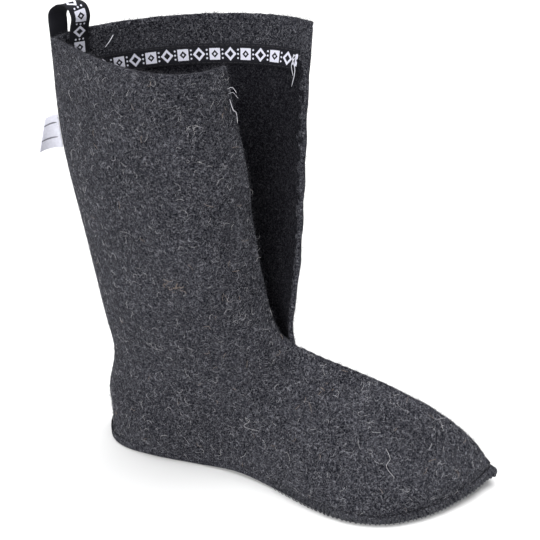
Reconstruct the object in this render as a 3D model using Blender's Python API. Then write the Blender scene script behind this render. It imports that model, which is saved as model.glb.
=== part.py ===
"""A tall felt boot in the valenki family: two soft side panels, a stitched-on felt sole, a front slit.

Everything is in metres. +Z is up, +Y points to the toe and +X is the wearer's right. The origin is the
middle of the heel's flat spot, on the floor. It is a right boot, so +X is the lateral side.
"""

import math

import bmesh
import bpy
import numpy as np

# Foot
FOOT_LENGTH = 0.304
HEEL_SETBACK = 0.046
BALL_WIDTH = 0.113
TOE_SPRING = 0.007
ARCH_LIFT = 0.002
TOE_FACE_HEIGHT = 0.007

# Shaft
COLLAR_HEIGHT = 0.317
BACK_LEAN = 0.028
THROAT_FORWARD = 0.108
THROAT_HEIGHT = 0.101
LATERAL_FLAP_OUT = 0.015
MEDIAL_FLAP_OUT = 0.060

# Felt
WALL = 0.0035
SOLE_THICKNESS = 0.0045
CLEARANCE = 0.0003

# Overlocked seam that joins upper and sole
SEAM_HEIGHT = 0.0062
SEAM_LIFT = 0.0006
SEAM_SEAT = 0.0005
SEAM_BULGE = 0.0026
SEAM_KNOT = 0.0030
SEAM_KNOT_LENGTH = 0.006
SEAM_SWELL_ALONG = (0.20, 0.60)
SEAM_SWELL_SHARE = (0.55, 1.00)

# Ribbon, which makes the collar tape and the pull loop
RIBBON_WIDTH = 0.015
RIBBON_THICKNESS = 0.0008
TAPE_DROP = 0.021
TAPE_END_INSET = 0.010
TAPE_SEAT = 0.0005
LOOP_RISE = 0.019
LOOP_BULGE = 0.007
LOOP_TUCK = 0.0195
LOOP_SEAT = 0.0011

# Sewn-in label
LABEL_REACH = 0.014
LABEL_HEIGHT = 0.025
LABEL_THICKNESS = 0.0006
LABEL_DROP = 0.056
LABEL_TURN = math.radians(62)
LABEL_DROOP = 0.3
LABEL_SLANT = 0.45
LABEL_STEPS = 6

# Facets: steps between sections and across a panel, points round each smaller shape
ROW_STEPS = 4
COLUMN_STEPS = 12
EDGE_STEPS = 20
SOLE_COLUMNS = 9
SEAM_POINTS = 7
LOOP_STEPS = 3
LINE_STEPS = 60
WELD_DISTANCE = 1e-6
CREASE_ANGLE = math.radians(50)
LATERAL, MEDIAL = 1, -1

# Sole outline from heel back to toe tip: along is a share of the foot length, and the two widths are
# shares of the ball width.
SOLE_EDGE = (
    # place        along  lateral medial
    ("heel_back", 0.000, 0.000, 0.000),
    ("heel_corner", 0.022, 0.185, 0.180),
    ("heel_round", 0.075, 0.288, 0.280),
    ("heel_side", 0.165, 0.318, 0.310),
    ("waist_back", 0.290, 0.312, 0.286),
    ("waist", 0.395, 0.330, 0.275),
    ("waist_front", 0.505, 0.408, 0.298),
    ("ball_back", 0.618, 0.515, 0.366),
    ("ball", 0.710, 0.557, 0.424),
    ("toes_back", 0.790, 0.518, 0.432),
    ("toes", 0.862, 0.400, 0.396),
    ("toe_side", 0.922, 0.238, 0.322),
    ("toe_round", 0.970, 0.055, 0.222),
    ("toe_tip", 1.000, -0.125, 0.125),
)

# Height of the sole's underside: heel and ball are flat on the floor, and the toe springs.
SOLE_RISE = (
    # place      along  arch toe
    ("heel_back", 0.00, 0.0, 0.0),
    ("heel_front", 0.26, 0.0, 0.0),
    ("arch", 0.40, 1.0, 0.0),
    ("ball_back", 0.54, 0.0, 0.0),
    ("ball_front", 0.76, 0.0, 0.0),
    ("toes", 0.88, 0.0, 0.3),
    ("toe_tip", 1.00, 0.0, 1.0),
)

# One row for each section of the panels, from the collar down the heel and on to the toe. Its back end
# runs down the back seam (lean and height) and then round the sole's edge (seat, a share of one side's
# edge). Its front end runs down the slit and then along the ridge of the vamp (along the foot, and height
# as a share of the throat's).
SECTIONS = (
    # place       lean  height seat  along  ridge
    ("collar", 1.000, 1.000, None, None, None),
    ("calf", 0.930, 0.765, None, None, None),
    ("shin", 0.450, 0.510, None, None, None),
    ("ankle", 0.100, 0.325, None, None, None),
    ("throat", -0.110, 0.215, None, None, 1.000),
    ("heel", 0.130, 0.100, None, 0.526, 0.985),
    ("heel_seat", 0.000, None, 0.000, 0.545, 0.962),
    ("heel_corner", None, None, 0.072, 0.557, 0.947),
    ("heel_side", None, None, 0.155, 0.572, 0.930),
    ("waist", None, None, 0.320, 0.608, 0.894),
    ("instep", None, None, 0.480, 0.666, 0.838),
    ("ball", None, None, 0.630, 0.752, 0.742),
    ("toes", None, None, 0.770, 0.850, 0.595),
    ("toe_cap", None, None, 0.880, 0.936, 0.405),
    ("toe_end", None, None, 0.955, 0.982, 0.250),
    ("toe_tip", None, None, 1.000, 1.000, None),
)

# The slit's two free edges: forward is a share of the throat's distance, out of each flap's own spread.
SLIT_EDGES = (
    # place     height lateral_forward lateral_out medial_height medial_forward medial_out
    ("collar", 0.994, 0.572, 1.00, 1.034, 0.910, 1.00),
    ("calf", 0.765, 0.682, 0.64, 0.790, 0.950, 0.63),
    ("shin", 0.522, 0.768, 0.30, 0.525, 0.978, 0.30),
    ("ankle", 0.372, 0.862, 0.08, 0.372, 0.975, 0.08),
)

# How each section swells: handles of its curve at the back end and the front end, as shares of its chord:
# out is away from the mid-plane, fwd towards the toe and up towards the collar.
LATERAL_SWELL = (
    # place      back: out fwd up   front: out fwd up
    ("collar", 0.26, 0.36, 0.00, 0.47, -0.16, 0.00),
    ("calf", 0.30, 0.28, 0.00, 0.45, -0.14, 0.00),
    ("shin", 0.32, 0.23, 0.00, 0.42, -0.10, 0.00),
    ("ankle", 0.31, 0.20, 0.00, 0.38, -0.07, 0.00),
    ("throat", 0.32, 0.14, 0.00, 0.30, -0.08, -0.10),
    ("heel", 0.31, 0.09, 0.03, 0.25, -0.12, -0.15),
    ("heel_seat", 0.30, 0.04, 0.13, 0.23, -0.11, -0.18),
    ("heel_corner", 0.145, 0.12, 0.14, 0.24, -0.13, -0.19),
    ("heel_side", 0.02, 0.11, 0.18, 0.26, -0.12, -0.19),
    ("waist", 0.02, 0.05, 0.28, 0.27, -0.10, -0.19),
    ("instep", 0.03, 0.02, 0.38, 0.28, -0.05, -0.20),
    ("ball", 0.03, 0.00, 0.36, 0.34, -0.02, -0.22),
    ("toes", 0.03, 0.00, 0.36, 0.36, 0.00, -0.22),
    ("toe_cap", 0.04, 0.02, 0.36, 0.33, 0.03, -0.18),
    ("toe_end", 0.05, 0.05, 0.36, 0.25, 0.06, -0.12),
    ("toe_tip", 0.00, 0.00, 0.33, 0.00, 0.00, -0.33),
)
MEDIAL_SWELL = (
    # place      back: out fwd up   front: out fwd up
    ("collar", 0.31, 0.10, 0.02, 0.24, -0.27, -0.02),
    ("calf", 0.33, 0.12, 0.00, 0.28, -0.25, -0.02),
    ("shin", 0.34, 0.14, 0.00, 0.32, -0.20, 0.00),
    ("ankle", 0.34, 0.12, 0.00, 0.33, -0.12, 0.00),
    ("throat", 0.32, 0.12, 0.00, 0.29, -0.08, -0.12),
    ("heel", 0.30, 0.09, 0.03, 0.24, -0.12, -0.17),
    ("heel_seat", 0.29, 0.04, 0.13, 0.22, -0.11, -0.20),
    ("heel_corner", 0.135, 0.12, 0.14, 0.23, -0.13, -0.21),
    ("heel_side", 0.02, 0.11, 0.18, 0.25, -0.12, -0.21),
    ("waist", 0.02, 0.05, 0.28, 0.25, -0.10, -0.21),
    ("instep", 0.03, 0.02, 0.36, 0.25, -0.05, -0.22),
    ("ball", 0.03, 0.00, 0.36, 0.29, -0.02, -0.23),
    ("toes", 0.03, 0.00, 0.36, 0.30, 0.00, -0.22),
    ("toe_cap", 0.04, 0.02, 0.36, 0.28, 0.03, -0.18),
    ("toe_end", 0.05, 0.05, 0.36, 0.22, 0.06, -0.12),
    ("toe_tip", 0.00, 0.00, 0.33, 0.00, 0.00, -0.33),
)

# The pull loop's path over the collar: along is the distance from the back seam as a share of the
# ribbon's width, through is 0 at the wall's outer face and 1 at its inner one, bulge is a share of the
# loop's bulge, and up is a share of its rise above the collar or of its tuck below it.
LOOP_PATH = (
    # place        along through bulge up
    ("outer_foot", 0.60, 0.00, 0.00, -0.70),
    ("outer_hem", 0.62, 0.00, 0.00, -0.25),
    ("outer_rise", 0.68, 0.00, -0.20, 0.22),
    ("outer_lean", 0.86, 0.00, -0.62, 0.66),
    ("outer_top", 1.08, 0.25, -0.50, 0.93),
    ("top", 1.28, 0.50, 0.00, 1.04),
    ("inner_top", 1.44, 0.75, 0.50, 0.92),
    ("inner_lean", 1.50, 1.00, 0.56, 0.60),
    ("inner_rise", 1.46, 1.00, 0.25, 0.20),
    ("inner_hem", 1.42, 1.00, 0.00, -0.25),
    ("inner_foot", 1.38, 1.00, 0.00, -1.00),
)

THROAT_ROW = [row[0] for row in SECTIONS].index("throat")
HEEL_SEAT_ROW = [row[0] for row in SECTIONS].index("heel_seat")
LAST_ROW = len(SECTIONS) - 1
SHARPEST_CREASE = 0.5
EASING = 0.5
EASING_PASSES = 20
EASED_SHARES = (0.0, 0.35, 0.8, 1.0)
EASED_ROWS = (THROAT_ROW - 0.5, THROAT_ROW + 1, HEEL_SEAT_ROW + 1.5, HEEL_SEAT_ROW + 3)


def through(knots, at):
    """A smooth curve through the rows of knots (Catmull-Rom), read at row numbers from 0 to the last."""
    knots = np.asarray(knots, float)
    at = np.clip(np.asarray(at, float), 0.0, len(knots) - 1.0)
    before = np.minimum(at.astype(int), len(knots) - 2)
    share = (at - before)[..., None]
    start, end = knots[before], knots[before + 1]
    start_slope = (end - knots[np.maximum(before - 1, 0)]) / np.where(before > 0, 2.0, 1.0)[..., None]
    after = np.minimum(before + 2, len(knots) - 1)
    end_slope = (knots[after] - start) / (after - before)[..., None]
    square, cube = share**2, share**3
    return (
        (2 * cube - 3 * square + 1) * start
        + (cube - 2 * square + share) * start_slope
        + (3 * square - 2 * cube) * end
        + (cube - square) * end_slope
    )


def through_bend(knots, at, bend):
    """The same, with a bend at one row number, where the line turns a corner."""
    at = np.asarray(at, float)
    first = through(knots[: bend + 1], np.minimum(at, bend))
    second = through(knots[bend:], np.maximum(at - bend, 0.0))
    return np.where((at <= bend)[..., None], first, second)


def foot_y(along):
    """The place along the boot, from its share of the foot length behind the toe tip."""
    return along * FOOT_LENGTH - HEEL_SETBACK


def sole_rise(y):
    """Height of the sole's underside above the floor."""
    along = (np.asarray(y, float) + HEEL_SETBACK) / FOOT_LENGTH
    places = [row[1] for row in SOLE_RISE]
    arch = np.interp(along, places, [row[2] for row in SOLE_RISE])
    toe = np.interp(along, places, [row[3] for row in SOLE_RISE])
    return ARCH_LIFT * arch * arch * (3 - 2 * arch) + TOE_SPRING * toe**1.5


def seat_height(y):
    """Height at which the panels' lower edge stands clear of the sole's upper face."""
    return sole_rise(y) + SOLE_THICKNESS + CLEARANCE


def edge_curve():
    """The sole's whole edge in plan, from the toe tip round the lateral side and the heel back to the tip."""
    lateral = [(row[2] * BALL_WIDTH, foot_y(row[1])) for row in SOLE_EDGE]
    medial = [(-row[3] * BALL_WIDTH, foot_y(row[1])) for row in SOLE_EDGE]
    knots = lateral[::-1] + medial[1:]
    return through(knots, np.linspace(0, len(knots) - 1, EDGE_STEPS * (len(knots) - 1) + 1))


def side_edge(side):
    """One side's edge as (points from the heel back to the toe tip, share of its length at each)."""
    whole = edge_curve()
    half = len(whole) // 2
    points = whole[: half + 1][::-1] if side == LATERAL else whole[half:]
    run = np.concatenate([[0.0], np.cumsum(np.linalg.norm(np.diff(points, axis=0), axis=1))])
    return points, run / run[-1]


def seat_point(side, seat):
    """Where the panel's lower edge meets the sole, at a share of that side's edge."""
    points, shares = side_edge(side)
    x = np.interp(seat, shares, points[:, 0])
    y = np.interp(seat, shares, points[:, 1])
    return np.stack([x, y, seat_height(y)], axis=-1)


def seats_of(rows):
    """Shares of one side's edge where the foot's sections stand, at these row numbers."""
    seats = [(row[3],) for row in SECTIONS[HEEL_SEAT_ROW:]]
    return through(seats, np.maximum(np.asarray(rows, float) - HEEL_SEAT_ROW, 0.0))[..., 0]


def edge_seats():
    """The seats that upper, sole and seam share, so that their facets stand on one plan."""
    steps = (LAST_ROW - HEEL_SEAT_ROW) * ROW_STEPS
    return seats_of(np.linspace(HEEL_SEAT_ROW, LAST_ROW, steps + 1))


def back_end(side, rows):
    """The back end of the sections at these row numbers: down the back seam, then round the sole's edge."""
    heel_back = seat_point(side, 0.0)
    seam = [
        (0.0, -HEEL_SETBACK - row[1] * BACK_LEAN, row[2] * COLLAR_HEIGHT)
        for row in SECTIONS[:HEEL_SEAT_ROW]
    ]
    seam.append(tuple(heel_back))
    rows = np.asarray(rows, float)
    on_seam = through(seam, np.minimum(rows, HEEL_SEAT_ROW))
    return np.where((rows <= HEEL_SEAT_ROW)[..., None], on_seam, seat_point(side, seats_of(rows)))


def front_end(side, rows):
    """The front end of the sections at these row numbers: down the slit, then along the vamp's ridge."""
    toe = seat_point(side, 1.0)
    throat = (0.0, THROAT_FORWARD, THROAT_HEIGHT)
    height, forward, out = (1, 2, 3) if side == LATERAL else (4, 5, 6)
    spread = LATERAL_FLAP_OUT if side == LATERAL else MEDIAL_FLAP_OUT
    line = [
        (side * row[out] * spread, row[forward] * THROAT_FORWARD, row[height] * COLLAR_HEIGHT)
        for row in SLIT_EDGES
    ]
    line.append(throat)
    for row in SECTIONS[THROAT_ROW + 1 : LAST_ROW]:
        y = foot_y(row[4])
        swing = (y - THROAT_FORWARD) / (toe[1] - THROAT_FORWARD)
        line.append((toe[0] * swing, y, row[5] * THROAT_HEIGHT))
    line.append((toe[0], toe[1], toe[2] + TOE_FACE_HEIGHT))
    return through_bend(line, rows, THROAT_ROW)


def panel(side, rows, shares):
    """Points of one panel's outer face, for each row number and each share from its back to its front."""
    rows = np.asarray(rows, float)
    back, front = back_end(side, rows), front_end(side, rows)
    swell = LATERAL_SWELL if side == LATERAL else MEDIAL_SWELL
    back_handle = through_bend([row[1:4] for row in swell], rows, HEEL_SEAT_ROW)
    front_handle = through_bend([row[4:] for row in swell], rows, THROAT_ROW)
    chord = np.linalg.norm(front - back, axis=-1)[..., None]
    mirror = np.array([side, 1.0, 1.0])
    first = back + back_handle * mirror * chord
    second = front + front_handle * mirror * chord
    share = np.asarray(shares, float)
    weights = ((1 - share) ** 3, 3 * share * (1 - share) ** 2, 3 * share**2 * (1 - share), share**3)
    ends = (back, first, second, front)
    return sum(end[..., None, :] * weight[..., None] for end, weight in zip(ends, weights))


def side_grid(side):
    """One panel's outer face as a grid of points, a row for each step between sections. Where the sections
    fan out round the heel, the points inside its edges are eased to the middle of their neighbours."""
    rows = np.linspace(0, LAST_ROW, LAST_ROW * ROW_STEPS + 1)
    shares = np.linspace(0, 1, COLUMN_STEPS + 1)
    grid = panel(side, rows, shares)
    fade = (0, 1, 1, 0)
    ease = np.outer(np.interp(rows, EASED_ROWS, fade), np.interp(shares, EASED_SHARES, fade))
    for _ in range(EASING_PASSES):
        middle = (grid[:-2] + grid[2:]) / 2
        grid[1:-1] += (middle - grid[1:-1]) * EASING * ease[1:-1, :, None]
    return grid


def inward(grid, side):
    """Unit directions from a grid of one panel's points into the boot."""
    found = np.cross(np.gradient(grid, axis=1), np.gradient(grid, axis=0)) * side
    return found / np.linalg.norm(found, axis=-1)[..., None]


def mitre(one, other):
    """The step that lies 1 under two faces that meet in a crease, from their unit directions."""
    return (one + other) / np.maximum(1 + (one * other).sum(axis=-1), SHARPEST_CREASE)[..., None]


def grid_at_depth(side, depth):
    """One panel's grid at a depth under its outer face. The creases at the back seam and at the ridge are
    mitred, and the lower edge stays level on the sole."""
    grid = side_grid(side)
    step = inward(grid, side)
    other = inward(side_grid(-side), -side)
    throat, heel = THROAT_ROW * ROW_STEPS, HEEL_SEAT_ROW * ROW_STEPS
    step[: heel + 1, 0] = mitre(step[: heel + 1, 0], other[: heel + 1, 0])
    step[throat:, -1] = mitre(step[throat:, -1], other[throat:, -1])
    step[heel + 1 :, 0, 2] = 0.0
    step[heel + 1 :, 0] /= np.linalg.norm(step[heel + 1 :, 0], axis=-1)[:, None]
    moved = grid + depth * step
    moved[heel:, 0, 2] = seat_height(moved[heel:, 0, 1])
    return moved


def material(name, colour, roughness):
    made = bpy.data.materials.new(name)
    made.use_nodes = True
    shader = made.node_tree.nodes["Principled BSDF"]
    shader.inputs["Base Color"].default_value = (*colour, 1.0)
    shader.inputs["Roughness"].default_value = roughness
    shader.inputs["Metallic"].default_value = 0.0
    return made


def add_object(name, points, faces, surface, collection):
    """A named object from points and faces, with doubled points joined and its faces turned outwards."""
    mesh = bpy.data.meshes.new(name)
    mesh.from_pydata([tuple(map(float, p)) for p in points], [], faces)
    work = bmesh.new()
    work.from_mesh(mesh)
    bmesh.ops.remove_doubles(work, verts=work.verts, dist=WELD_DISTANCE)
    bmesh.ops.recalc_face_normals(work, faces=work.faces)
    work.to_mesh(mesh)
    work.free()
    mesh.shade_smooth()
    mesh.set_sharp_from_angle(angle=CREASE_ANGLE)
    mesh.materials.append(surface)
    made = bpy.data.objects.new(name, mesh)
    collection.objects.link(made)
    return made


def grid_faces(rows, columns, first=0, ring=False):
    """Quads of a grid of points, numbered row by row. A ring joins its last column to its first."""
    faces = []
    for row in range(rows - 1):
        for column in range(columns if ring else columns - 1):
            after = (column + 1) % columns
            faces.append(
                (
                    first + row * columns + column,
                    first + row * columns + after,
                    first + (row + 1) * columns + after,
                    first + (row + 1) * columns + column,
                )
            )
    return faces


def make_upper(surface, collection):
    """Both side panels, joined at the back seam and the vamp's ridge, as one felt wall with an open slit.
    The hollow ends a row short of the toe tip, in a small flat wall, because two walls fill the tip."""
    rows, columns = LAST_ROW * ROW_STEPS + 1, COLUMN_STEPS + 1
    size = rows * columns
    numbers = np.arange(size).reshape(rows, columns)
    slit = numbers[: THROAT_ROW * ROW_STEPS + 1, -1]
    seat = numbers[HEEL_SEAT_ROW * ROW_STEPS :, 0]
    hollow = np.arange(rows, dtype=float)
    hollow[-2 * ROW_STEPS :] -= np.arange(1, 2 * ROW_STEPS + 1) / 2
    points, faces, nose = [], [], []
    for side in (LATERAL, MEDIAL):
        outer = len(points)
        inner = outer + size
        points += list(side_grid(side).reshape(-1, 3))
        points += list(through(grid_at_depth(side, WALL).reshape(rows, -1), hollow).reshape(-1, 3))
        faces += grid_faces(rows, columns, outer)
        faces += grid_faces(rows, columns, inner)
        for edge in (numbers[0], slit, seat):
            faces += [(a + outer, b + outer, b + inner, a + inner) for a, b in zip(edge[:-1], edge[1:])]
        nose.append(numbers[-1] + inner)
    faces += [(nose[0][c], nose[0][c + 1], nose[1][c + 1], nose[1][c]) for c in range(COLUMN_STEPS)]
    faces.append((nose[0][0], nose[1][0], numbers[-1, 0]))
    return add_object("upper", points, faces, surface, collection)


def make_sole(surface, collection):
    """The felt sole: a sheet with the true outline, flat under heel and ball, lifted at arch and toe."""
    seats = edge_seats()
    count = len(seats)
    across = np.linspace(0, 1, SOLE_COLUMNS)
    right, left = seat_point(LATERAL, seats), seat_point(MEDIAL, seats)
    sheet = right[:, None, :] * (1 - across)[None, :, None] + left[:, None, :] * across[None, :, None]
    under = sole_rise(sheet[..., 1])
    bottom, top = sheet.copy(), sheet.copy()
    bottom[..., 2] = under
    top[..., 2] = under + SOLE_THICKNESS
    columns = len(across)
    faces = grid_faces(count, columns)
    faces += [face[::-1] for face in grid_faces(count, columns, count * columns)]
    for row in range(count - 1):
        for column in (0, columns - 1):
            a, b = row * columns + column, (row + 1) * columns + column
            faces.append((a, b, b + count * columns, a + count * columns))
    points = list(bottom.reshape(-1, 3)) + list(top.reshape(-1, 3))
    return add_object("sole", points, faces, surface, collection)


def edge_frames():
    """Points round the sole's edge, each with the outward step that clears both its neighbouring facets,
    from the toe tip round the lateral side and the heel, and back to the tip, which is turned in steps."""
    seats = edge_seats()
    ring = np.vstack([seat_point(LATERAL, seats[::-1]), seat_point(MEDIAL, seats[1:])])[:, :2]
    heading = np.diff(ring, axis=0)
    heading /= np.linalg.norm(heading, axis=1)[:, None]
    facing = np.stack([-heading[:, 1], heading[:, 0]], axis=1)
    facing *= np.sign(facing[0] @ (ring[0] - ring.mean(axis=0)))
    frames = [(ring[0], facing[0])]
    frames += list(zip(ring[1:-1], mitre(facing[:-1], facing[1:])))
    frames.append((ring[-1], facing[-1]))
    first, last = (math.atan2(step[1], step[0]) for step in (facing[0], facing[-1]))
    turn = (first - last + math.pi) % (2 * math.pi) - math.pi
    for share in (0.25, 0.5, 0.75):
        angle = last + share * turn
        frames.append((ring[-1], np.array([math.cos(angle), math.sin(angle)])))
    return frames


def make_edge_seam(surface, collection):
    """The rolled, overlocked edge that joins panels and sole: fullest round the toes, knotted at the tip."""
    arc = np.linspace(-math.pi / 2, math.pi / 2, SEAM_POINTS)
    points = []
    frames = edge_frames()
    tip = frames[0][0]
    for place, outward in frames:
        along = (place[1] + HEEL_SETBACK) / FOOT_LENGTH
        fullness = np.interp(along, SEAM_SWELL_ALONG, SEAM_SWELL_SHARE)
        knot = SEAM_KNOT * math.exp(-((np.linalg.norm(place - tip) / SEAM_KNOT_LENGTH) ** 2))
        middle = float(sole_rise(place[1])) + SEAM_LIFT + SEAM_HEIGHT / 2
        for turn in arc:
            spot = place + outward * (SEAM_SEAT + (SEAM_BULGE * fullness + knot) * math.cos(turn))
            points.append((*spot, middle + SEAM_HEIGHT / 2 * math.sin(turn)))
    columns = len(arc)
    last = (len(frames) - 1) * columns
    faces = grid_faces(len(frames), columns, ring=True)
    for column in range(columns):
        after = (column + 1) % columns
        faces.append((last + column, last + after, after, column))
    return add_object("edge_seam", points, faces, surface, collection)


def strip_object(name, centres, acrosses, width, thickness, surface, collection, slanted=False):
    """A ribbon of flat section along its centres, with its width along the directions given in acrosses,
    which are first squared to its run unless its end is cut at a slant."""
    centres = np.asarray(centres, float)
    ahead = np.gradient(centres, axis=0)
    points = []
    for centre, across, heading in zip(centres, acrosses, ahead):
        heading = heading / np.linalg.norm(heading)
        if not slanted:
            across = across - heading * (across @ heading)
        across = across / np.linalg.norm(across)
        normal = np.cross(heading, across)
        normal = normal / np.linalg.norm(normal)
        for a, n in ((-1, -1), (1, -1), (1, 1), (-1, 1)):
            points.append(centre + across * (a * width / 2) + normal * (n * thickness / 2))
    last = (len(centres) - 1) * 4
    faces = grid_faces(len(centres), 4, ring=True)
    faces += [(3, 2, 1, 0), (last, last + 1, last + 2, last + 3)]
    return add_object(name, points, faces, surface, collection)


def measured(points):
    """Distance along a line of points from its first one."""
    return np.concatenate([[0.0], np.cumsum(np.linalg.norm(np.diff(points, axis=0), axis=1))])


def point_along(points, distance):
    """The point of a line at a distance from its first one."""
    run = measured(points)
    return np.array([np.interp(distance, run, points[:, axis]) for axis in range(3)])


def tape_line(depth, drop):
    """Points at one depth in the wall and one distance below the collar, from the lateral slit edge round
    the back seam to the medial one."""
    halves = []
    for side in (LATERAL, MEDIAL):
        grid = grid_at_depth(side, depth)
        level = np.array([point_along(grid[:, column], drop) for column in range(COLUMN_STEPS + 1)])
        end = measured(level)[-1] - TAPE_END_INSET
        kept = level[measured(level) < end - CLEARANCE]
        halves.append(np.vstack([kept, point_along(level, end)]))
    return np.vstack([halves[0][:0:-1], halves[1]])


def make_collar_tape(surface, collection):
    """The ribbon sewn round the inside of the collar, worked out from the panels' own faces."""
    near, far = WALL + TAPE_SEAT, WALL + TAPE_SEAT + RIBBON_THICKNESS
    edges = [
        tape_line(near, TAPE_DROP),
        tape_line(near, TAPE_DROP + RIBBON_WIDTH),
        tape_line(far, TAPE_DROP + RIBBON_WIDTH),
        tape_line(far, TAPE_DROP),
    ]
    count = len(edges[0])
    points = [edge[i] for i in range(count) for edge in edges]
    last = (count - 1) * 4
    faces = grid_faces(count, 4, ring=True)
    faces += [(3, 2, 1, 0), (last, last + 1, last + 2, last + 3)]
    return add_object("collar_tape", points, faces, surface, collection)


def make_pull_loop(surface, collection):
    """The ribbon loop astride the collar beside the back seam, with one foot outside and one inside."""
    shares = np.linspace(0, 1, LINE_STEPS + 1)
    band = panel(MEDIAL, [0.0, 0.5], shares)
    collar, below = band
    facing = inward(band, MEDIAL)[0]
    run = measured(collar)
    outer = -LOOP_SEAT - RIBBON_THICKNESS / 2
    inner = WALL + LOOP_SEAT + RIBBON_THICKNESS / 2
    knots = np.array([row[1:] for row in LOOP_PATH])
    path = through(knots, np.linspace(0, len(knots) - 1, LOOP_STEPS * (len(knots) - 1) + 1))
    centres, acrosses = [], []
    for along, passed, bulge, up in path:
        distance = along * RIBBON_WIDTH
        seat = point_along(collar, distance)
        rise = seat - [np.interp(distance, run, below[:, axis]) for axis in range(3)]
        into = np.array([np.interp(distance, run, facing[:, axis]) for axis in range(3)])
        depth = outer + (inner - outer) * passed + LOOP_BULGE * bulge
        height = up * (LOOP_RISE if up > 0 else LOOP_TUCK)
        centres.append(seat + into * depth + rise / np.linalg.norm(rise) * height)
        acrosses.append(point_along(collar, distance + CLEARANCE) - seat)
    return strip_object("pull_loop", centres, acrosses, RIBBON_WIDTH, RIBBON_THICKNESS, surface, collection)


def make_label(surface, collection):
    """The plain woven label caught in the back seam, standing out behind and turned to the lateral side."""
    seam = back_end(LATERAL, np.linspace(0, HEEL_SEAT_ROW, LINE_STEPS + 1))
    high = point_along(seam, LABEL_DROP)
    middle = point_along(seam, LABEL_DROP + LABEL_HEIGHT / 2)
    low = point_along(seam, LABEL_DROP + LABEL_HEIGHT)
    centres = [middle + [0.0, -CLEARANCE, 0.0]]
    for share in np.linspace(1 / LABEL_STEPS, 1, LABEL_STEPS):
        turn = LABEL_TURN * share**0.7
        heading = np.array([math.sin(turn), -math.cos(turn), -LABEL_DROOP * share])
        centres.append(centres[-1] + heading / np.linalg.norm(heading) * LABEL_REACH / LABEL_STEPS)
    centres = np.array(centres)
    ahead = np.gradient(centres, axis=0)
    ahead /= np.linalg.norm(ahead, axis=1)[:, None]
    slant = measured(centres)[:, None] / LABEL_REACH * LABEL_SLANT
    acrosses = (low - high) / np.linalg.norm(low - high) + ahead * slant
    return strip_object(
        "size_label", centres, acrosses, LABEL_HEIGHT, LABEL_THICKNESS, surface, collection, slanted=True
    )


def main():
    for old in list(bpy.data.objects):
        bpy.data.objects.remove(old)
    collection = bpy.data.collections.new("felt_boot")
    bpy.context.scene.collection.children.link(collection)
    felt = material("felt_charcoal", (0.035, 0.036, 0.040), 0.95)
    sole_felt = material("felt_sole", (0.030, 0.031, 0.034), 0.97)
    yarn = material("overlock_yarn", (0.026, 0.027, 0.030), 0.90)
    ribbon = material("ribbon_black", (0.020, 0.021, 0.025), 0.70)
    label = material("label_white", (0.780, 0.780, 0.820), 0.65)
    make_upper(felt, collection)
    make_sole(sole_felt, collection)
    make_edge_seam(yarn, collection)
    make_collar_tape(ribbon, collection)
    make_pull_loop(ribbon, collection)
    make_label(label, collection)


main()
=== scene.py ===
"""The felt boot's look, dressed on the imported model: heathered wool felt with its fuzz, an overlocked sole
edge, a woven collar tape and pull loop, a plain label, stitches and a few loose threads.

Everything is in metres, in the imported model's frame: +Z up, +Y to the toe, +X the wearer's right.
"""

import math

import bmesh
import bpy
import numpy as np
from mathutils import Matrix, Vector


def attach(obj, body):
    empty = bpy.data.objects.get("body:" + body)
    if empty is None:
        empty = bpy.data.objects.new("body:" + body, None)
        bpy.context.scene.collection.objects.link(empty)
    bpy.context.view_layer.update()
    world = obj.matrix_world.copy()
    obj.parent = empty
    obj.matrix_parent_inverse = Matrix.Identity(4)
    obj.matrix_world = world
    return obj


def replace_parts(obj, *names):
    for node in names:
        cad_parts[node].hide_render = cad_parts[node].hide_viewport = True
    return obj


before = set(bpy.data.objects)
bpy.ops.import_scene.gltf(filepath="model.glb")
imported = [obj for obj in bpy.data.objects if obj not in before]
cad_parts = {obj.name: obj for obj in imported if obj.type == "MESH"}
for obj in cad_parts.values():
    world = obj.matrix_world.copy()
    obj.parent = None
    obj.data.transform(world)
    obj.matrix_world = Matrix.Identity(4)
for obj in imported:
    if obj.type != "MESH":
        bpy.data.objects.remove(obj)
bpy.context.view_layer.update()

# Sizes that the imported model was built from
FOOT_LENGTH = 0.304
HEEL_SETBACK = 0.046
BALL_WIDTH = 0.113
TOE_SPRING = 0.007
ARCH_LIFT = 0.002
TOE_FACE_HEIGHT = 0.007
COLLAR_HEIGHT = 0.317
BACK_LEAN = 0.028
THROAT_FORWARD = 0.108
THROAT_HEIGHT = 0.101
LATERAL_FLAP_OUT = 0.015
MEDIAL_FLAP_OUT = 0.060
WALL = 0.0035
SOLE_THICKNESS = 0.0045
CLEARANCE = 0.0003
SEAM_HEIGHT = 0.0062
SEAM_LIFT = 0.0006
SEAM_SEAT = 0.0005
SEAM_BULGE = 0.0026
SEAM_KNOT = 0.0030
SEAM_KNOT_LENGTH = 0.006
RIBBON_WIDTH = 0.015
RIBBON_THICKNESS = 0.0008
TAPE_DROP = 0.021
TAPE_END_INSET = 0.010
TAPE_SEAT = 0.0005
LOOP_RISE = 0.019
LOOP_BULGE = 0.007
LOOP_TUCK = 0.0195
LOOP_SEAT = 0.0011
LABEL_REACH = 0.014
LABEL_HEIGHT = 0.025
LABEL_THICKNESS = 0.0006
LABEL_DROP = 0.056
LABEL_TURN = math.radians(62)
LABEL_DROOP = 0.3
LABEL_SLANT = 0.45

# Shares of the foot's length between which the seam's roll swells, and its share of the bulge at each
SEAM_SWELL_ALONG = (0.20, 0.60)
SEAM_SWELL_SHARE = (0.55, 1.00)
# Shares of the foot's length between which the overlock comes into view
SEAM_SHOW_ALONG = (0.50, 0.68)

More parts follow.
